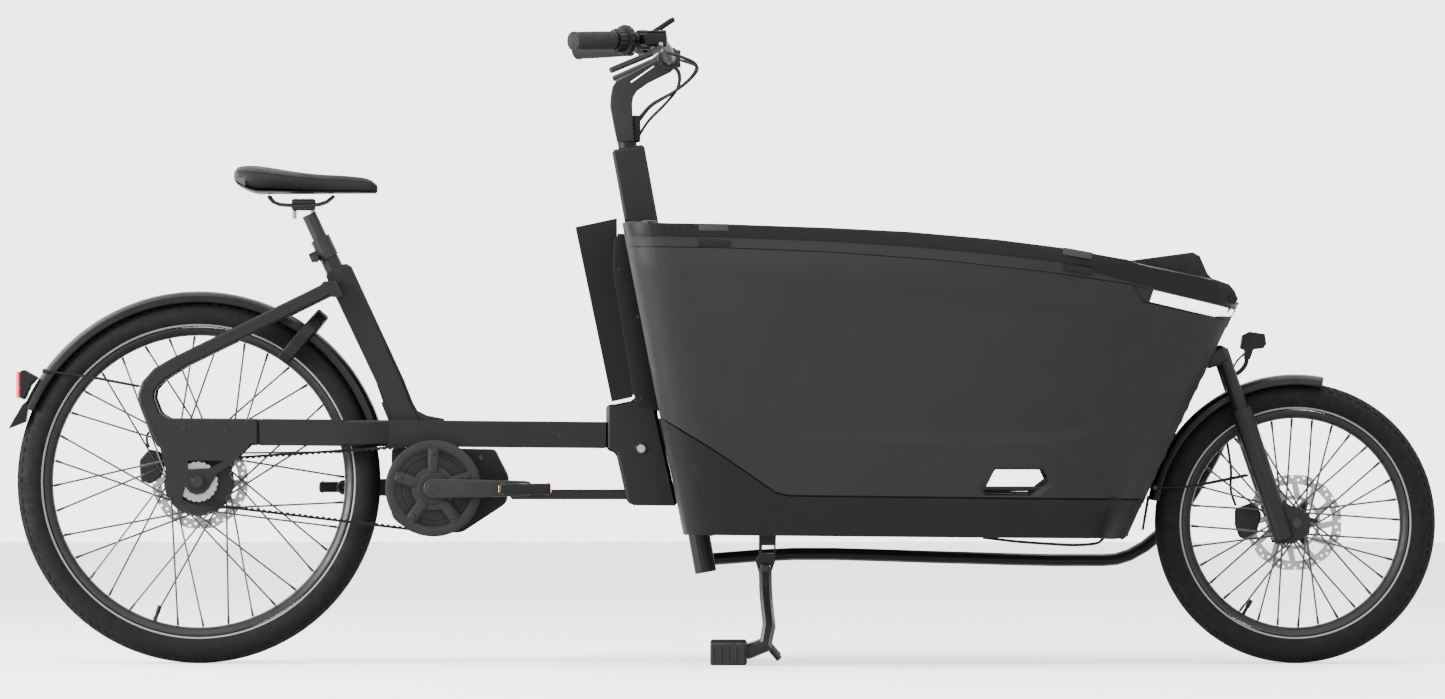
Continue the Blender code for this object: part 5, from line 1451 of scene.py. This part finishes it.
def bar_details():
    """Reservoir caps, lever pins, the clamp's bolts and the display's face."""
    along_bar = (grip_point(1, -1) - grip_point(0, -1)).normalized()
    for side, word in ((-1, "right"), (1, "left")):
        along_bar = (grip_point(1, side) - grip_point(0, side)).normalized()
        forward = Vector((-along_bar.y, along_bar.x, 0)).normalized()
        forward = forward if forward.x > 0 else -forward
        centre = grip_point(-0.22, side)
        cap = soft_block(f"reservoir_cap_{word}", (0.021, 0.046, 0.004),
                         (0, 0, 0), TRIM, 0.0015)
        cap.matrix_world = (Matrix.Translation(centre + 0.030 * forward
                                               + Vector((0, 0, 0.0142)))
                            @ Matrix.Rotation(math.atan2(along_bar.y, along_bar.x)
                                              - math.pi / 2, 4, "Z"))
        finish_piece(cap, "steering", "trim_plastic")
        screws = bmesh.new()
        for step in (-0.016, 0.016):
            spot = centre + 0.030 * forward + along_bar * step + Vector((0, 0, 0.0155))
            bevelled_rod(screws, spot, spot + Vector((0, 0, 0.0015)), 0.0026, 0.0004, 16)
        pin = centre + 0.050 * forward + Vector((0, 0, -0.014))
        bevelled_rod(screws, pin - Vector((0, 0, 0.0085)), pin + Vector((0, 0, 0.0085)),
                     0.0042, 0.0006, 16)
        finish_piece(from_shape(f"reservoir_screws_{word}", screws, STEEL), "steering",
                     "bare_steel")
    bolts = bmesh.new()
    for y in (-0.016, 0.016):
        for z in (1.1060, 1.1300):
            bevelled_rod(bolts, (-0.083, y, z), (-0.0765, y, z), 0.0040, 0.0006, 16)
    finish_piece(from_shape("clamp_bolts", bolts, DARK_STEEL), "steering", "bare_steel")
    up = COLUMN_UP
    foot = Vector((-0.1725, 0, 0.9440))
    body = [(-0.2029, 1.0660), (-0.2062, 1.0480), (-0.2073, 1.0286), (-0.2006, 0.9934),
            (-0.1944, 0.9640), (-0.1629, 0.9640), (-0.1655, 1.0156), (-0.1662, 1.0340),
            (-0.1640, 1.0480), (-0.1573, 1.0582), (-0.1370, 1.0725), (-0.1148, 1.0835),
            (-0.0960, 1.0925), (-0.0840, 1.1030), (-0.0852, 1.1156), (-0.1000, 1.1230),
            (-0.1259, 1.1130), (-0.1960, 1.0760)]
    slit = [(-0.1705, 1.0752), (-0.1680, 1.0730), (-0.1262, 1.1028), (-0.1270, 1.1050)]
    clamp = plate("stem_clamp", arc((-0.098, 1.118), 0.0215, 48), -0.026, 0.026, ALLOY,
                  bevel=0.0015)
    finish_piece(plate("stem_body", body, -0.0200, 0.0200, ALLOY, [slit], 0.003, 4),
                 "steering", "black_metal", "stem")
    finish_piece(clamp, "steering", "black_metal")
    neck = bmesh.new()
    bevelled_rod(neck, foot, foot + 0.026 * up, 0.0175, 0.001, 32)
    finish_piece(from_shape("stem_neck", neck, TRIM), "steering", "trim_plastic")
    face = soft_block("display_face", (0.050, 0.040, 0.0012), (-0.1155, 0, 1.1790), SCREEN,
                      0.0005, direction=(-0.55, 0, 0.82))
    finish_piece(face, "steering", "trim_plastic")


grips()
shifter()
bar_cables()
bar_details()


# Frame details ----------------------------------------------------------------------


def rod_along_y(shape, x, z, low_y, high_y, radius, chamfer=0.0008, sides=24):
    bevelled_rod(shape, (x, low_y, z), (x, high_y, z), radius, chamfer, sides)


def side_covers():
    """The covers beside the steering column, between the battery and the box."""
    outline = [(-0.1985, 0.7880), (-0.1760, 0.7940), (-0.1650, 0.7900), (-0.1600, 0.7350),
               (-0.1370, 0.6060), (-0.1120, 0.4640), (-0.1550, 0.4780), (-0.1650, 0.5000),
               (-0.2020, 0.7300)]
    outline = rounded(outline, 0.0045, 4)
    for side, word in ((-1, "right"), (1, "left")):
        low, high = sorted((side * 0.0364, side * 0.0390))
        finish_piece(plate(f"column_cover_{word}", outline, low, high, TRIM, bevel=0.0008),
                     "frame", "trim_plastic")
        screws = bmesh.new()
        for x, z in ((-0.189, 0.728), (-0.148, 0.490), (-0.155, 0.640)):
            rod_along_y(screws, x, z, *sorted((side * 0.0385, side * 0.0400)), 0.0032, 0.0004)
        finish_piece(from_shape(f"cover_screws_{word}", screws, DARK_STEEL), "frame",
                     "bare_steel")


def frame_details():
    """Bolts, cable ports, joint lines and the axle's hardware."""
    bright, dark = bmesh.new(), bmesh.new()
    for side in (-1, 1):
        rod_along_y(bright, -0.149, 0.397, *sorted((side * 0.0345, side * 0.0378)), 0.0078)
        rod_along_y(dark, -0.149, 0.397, *sorted((side * 0.0335, side * 0.0362)), 0.0115)
        for x, z in ((-0.992, 0.433), (-0.914, 0.431)):
            rod_along_y(dark, x, z, *sorted((side * 0.0718, side * 0.0736)), 0.0045, 0.0006, 6)
        rod_along_y(dark, REAR_AXLE.x, REAR_AXLE.z, *sorted((side * 0.0700, side * 0.0800)),
                    0.0100)
        for x, z in ((-0.560, 0.385), (-0.445, 0.380), (-0.590, 0.290)):
            rod_along_y(dark, x, z, *sorted((side * 0.0390, side * 0.0425)), 0.0050)
    moving = bmesh.new()
    for side in (-1, 1):
        rod_along_y(moving, FRONT_AXLE.x, FRONT_AXLE.z,
                    *sorted((side * 0.0640, side * 0.0705)), 0.0095)
    finish_piece(from_shape("axle_caps", moving, DARK_STEEL), "fork_slider", "bare_steel")
    finish_piece(from_shape("frame_bolts", dark, DARK_STEEL), "frame", "bare_steel")
    finish_piece(from_shape("housing_bolts", bright, STEEL), "frame", "bare_steel")
    lines = [("joint_line_right", (-0.8530, -0.0645, 0.4275), 0.0170),
             ("joint_line_left", (-0.8530, 0.0645, 0.4275), 0.0170),
             ("joint_line_front", (-0.2150, 0, 0.4218), 0.0690)]
    for name, centre, wide in lines:
        band = soft_block(name, (0.0016, wide, 0.0470), centre, TRIM, 0.0006)
        finish_piece(band, "frame", "trim_plastic")
    ports = bmesh.new()
    for side in (-1, 1):
        rod_along_y(ports, -0.300, 0.4215, *sorted((side * 0.0340, side * 0.0362)), 0.0045)
    finish_piece(from_shape("cable_ports", ports, GRIP), "frame", "soft_rubber")


def frame_joints():
    """The bridge from the stays to the seat tube, and the fillet at the tube's foot."""
    cluster = [(-0.7440, 0.6960), (-0.7340, 0.7062), (-0.7120, 0.7062), (-0.6980, 0.6765),
               (-0.7215, 0.6770)]
    piece = plate("seat_cluster", rounded(cluster, 0.003, 4), -0.0715, 0.0715, FRAME_PAINT,
                  bevel=0.0015)
    finish_piece(piece, "frame", "frame_paint")
    gusset = [(-0.6060, 0.5200), (-0.5975, 0.5050), (-0.5850, 0.4860), (-0.5680, 0.4690),
              (-0.5450, 0.4580), (-0.5150, 0.4522), (-0.5100, 0.4440), (-0.6150, 0.4440),
              (-0.6300, 0.4800)]
    piece = plate("seat_tube_gusset", gusset, -0.0195, 0.0195, FRAME_PAINT, bevel=0.002)
    finish_piece(piece, "frame", "frame_paint")


YOKE_EDGES = ((-0.7190, 0.0724), (-0.7000, 0.0726), (-0.6600, 0.0600), (-0.6200, 0.0450),
              (-0.5800, 0.0240))  # (x, half width) of the fairing, from the stay forward
YOKE_LOW, YOKE_HIGH = 0.4022, 0.4496


def yoke_fairings():
    """A taper on each side from the stay's width to the tube's."""
    for side, word in ((-1, "right"), (1, "left")):
        shape = bmesh.new()
        rows = []
        for x, y in YOKE_EDGES:
            rows.append([shape.verts.new((x, side * spot, z)) for spot, z in
                         ((0.010, YOKE_LOW), (y - 0.004, YOKE_LOW), (y, YOKE_LOW + 0.004),
                          (y, YOKE_HIGH - 0.0038), (y - 0.004, YOKE_HIGH),
                          (0.010, YOKE_HIGH))])
        for a, b in zip(rows, rows[1:]):
            for k in range(6):
                shape.faces.new((a[k], a[(k + 1) % 6], b[(k + 1) % 6], b[k]))
        shape.faces.new(rows[0])
        shape.faces.new(rows[-1])
        bmesh.ops.recalc_face_normals(shape, faces=shape.faces)
        finish_piece(from_shape(f"yoke_fairing_{word}", shape, FRAME_PAINT), "frame",
                     "frame_paint")


def lamps():
    """The front lamp's lens, wire and bracket."""
    glass = [(0.0, 0.0), (0.016, 0.0), (0.0185, 0.0016), (0.0185, 0.0030), (0.0, 0.0050)]
    rows = []
    for k in range(40):
        a = math.tau * k / 40
        rows.append([(0.9990 + h, r * math.cos(a), 0.5955 + 0.62 * r * math.sin(a))
                     for r, h in glass[1:]])
    shape = bmesh.new()
    verts = grid_faces(shape, rows, closed_rows=True, closed_columns=False)
    shape.faces.new([row[0] for row in verts])
    shape.faces.new([row[-1] for row in verts])
    finish_piece(from_shape("headlight_glass", shape, WHITE), "fork", "white_lens")
    wire = spline([(0.966, 0.006, 0.572), (0.954, 0.010, 0.560), (0.945, 0.008, 0.545),
                   (0.938, 0.004, 0.532)], 16)
    finish_piece(swept("headlight_wire", wire, 0.0018, GRIP, 8), "fork", "soft_rubber")
    arm = spline([(0.9710, 0.0, 0.5670), (0.9690, 0.0, 0.5540), (0.9610, 0.0, 0.5420),
                  (0.9480, 0.0, 0.5330), (0.9380, 0.0, 0.5310)], 16)
    finish_piece(swept("headlight_bracket", arm, 0.0042, ALLOY, 14), "fork", "black_metal")


def stand_details():
    """The feet's grooves and the pivot's bolt."""
    shape = bmesh.new()
    for side in (-1, 1):
        for k in range(5):
            x = -0.016 + 0.014 * k
            y = side * 0.150
            bevelled_rod(shape, (x, y - 0.0182, 0.0350), (x, y + 0.0182, 0.0350), 0.0014,
                         0.0004, 8)
            bevelled_rod(shape, (x, y + side * 0.0180, 0.006), (x, y + side * 0.0180, 0.034),
                         0.0014, 0.0004, 8)
    finish_piece(from_shape("stand_pad_ribs", shape, GRIP), "stand", "soft_rubber")
    pivot = bmesh.new()
    bevelled_rod(pivot, (0.080, -0.0425, 0.176), (0.080, 0.0425, 0.176), 0.0078, 0.001, 20)
    finish_piece(from_shape("stand_pivot_bolt", pivot, DARK_STEEL), "stand", "bare_steel")
    cable = spline([(0.480, -0.120, 0.2340), (0.540, -0.118, 0.2270), (0.600, -0.112, 0.2225),
                    (0.650, -0.100, 0.2200), (0.690, -0.080, 0.2230), (0.705, -0.050, 0.2330)],
                   40)
    finish_piece(swept("under_cable", cable, 0.0026, GRIP, 10), "frame", "soft_rubber")


def hose_routes():
    """The brake hoses on their stated routes."""
    rear = [(-1.0620, 0.047, 0.3985), (-1.066, 0.0470, 0.410), (-1.0640, 0.0445, 0.424),
            (-1.0520, 0.0430, 0.4300), (-1.0380, 0.0430, 0.428), (-1.0180, 0.0430, 0.4270)]
    front = [(0.9520, 0.0435, 0.2905), (0.9430, 0.046, 0.320), (0.944, 0.060, 0.355),
             (0.9400, 0.070, 0.390), (0.9350, 0.0760, 0.420)]
    for name, knots, body in (("rear_brake_hose", rear, "frame"),
                              ("front_brake_hose", front, "fork_slider")):
        piece = swept(name + "_tube", spline(knots, 48), 0.0025, GRIP, 12)
        finish_piece(piece, body, "soft_rubber", name)


side_covers()
frame_details()
frame_joints()
yoke_fairings()
lamps()
stand_details()
hose_routes()


# CAD nodes carried over, and the floor ----------------------------------------------

KEPT = {
    FRAME_PAINT: ("main_frame", "rear_stay_left", "rear_stay_right", "beam", "steering_rod",
                  "fork_crown", "fork_lowers", "column_housing", "steering_column"),
    BOX_FOAM: ("box_shell", "box_rim"),
    SKIRT: ("box_skirt",),
    TRIM: ("motor", "tail_light_body", "ring_lock_body", "brake_reservoir_left",
           "brake_reservoir_right", "twist_shifter", "headlight", "battery", "belt",
           "bar_hose", "rear_brake_hose", "front_brake_hose", "display"),
    FENDER: ("rear_fender", "front_fender"),
    ALLOY: ("seat_collar", "saddle_clamp", "seatpost", "stem", "handlebar", "crankset",
            "front_pulley", "rear_pulley", "rear_caliper", "front_caliper",
            "brake_lever_left", "brake_lever_right", "stand_bracket", "stand_legs",
            "pedal_left", "pedal_right"),
    GRIP: ("grip_left", "grip_right", "stand_pad_left", "stand_pad_right"),
    DARK_STEEL: ("ring_lock_shackle",),
    RED: ("tail_light_lens",),
    WHITE: ("light_strip",),
    LEATHER: ("saddle",),
    FABRIC: ("bench_cushion",),
    TYRE: ("rear_tyre", "front_tyre"),
    RIM_ALLOY: ("rear_rim", "front_rim"),
}


def paint_kept_nodes():
    for material, names in KEPT.items():
        for name in names:
            node = frame["nodes"][name]
            if node.hide_render:
                continue
            if not node.data.materials:
                node.data.materials.append(material)
            for k in range(len(node.data.materials)):
                node.data.materials[k] = material


def floor():
    """A warm grey studio floor with a fine grain."""
    made = Surface("studio_floor", roughness=0.7)
    made.colour(made.mixed(made.noise(6.0), grey(0.60), grey(0.66)))
    made.relief((made.noise(300.0), 0.05, 0.0005))
    shape = bmesh.new()
    bmesh.ops.create_grid(shape, x_segments=1, y_segments=1, size=14.0)
    mesh = bpy.data.meshes.new("floor")
    shape.to_mesh(mesh)
    shape.free()
    new_object("floor", mesh, made.material)


paint_kept_nodes()
floor()
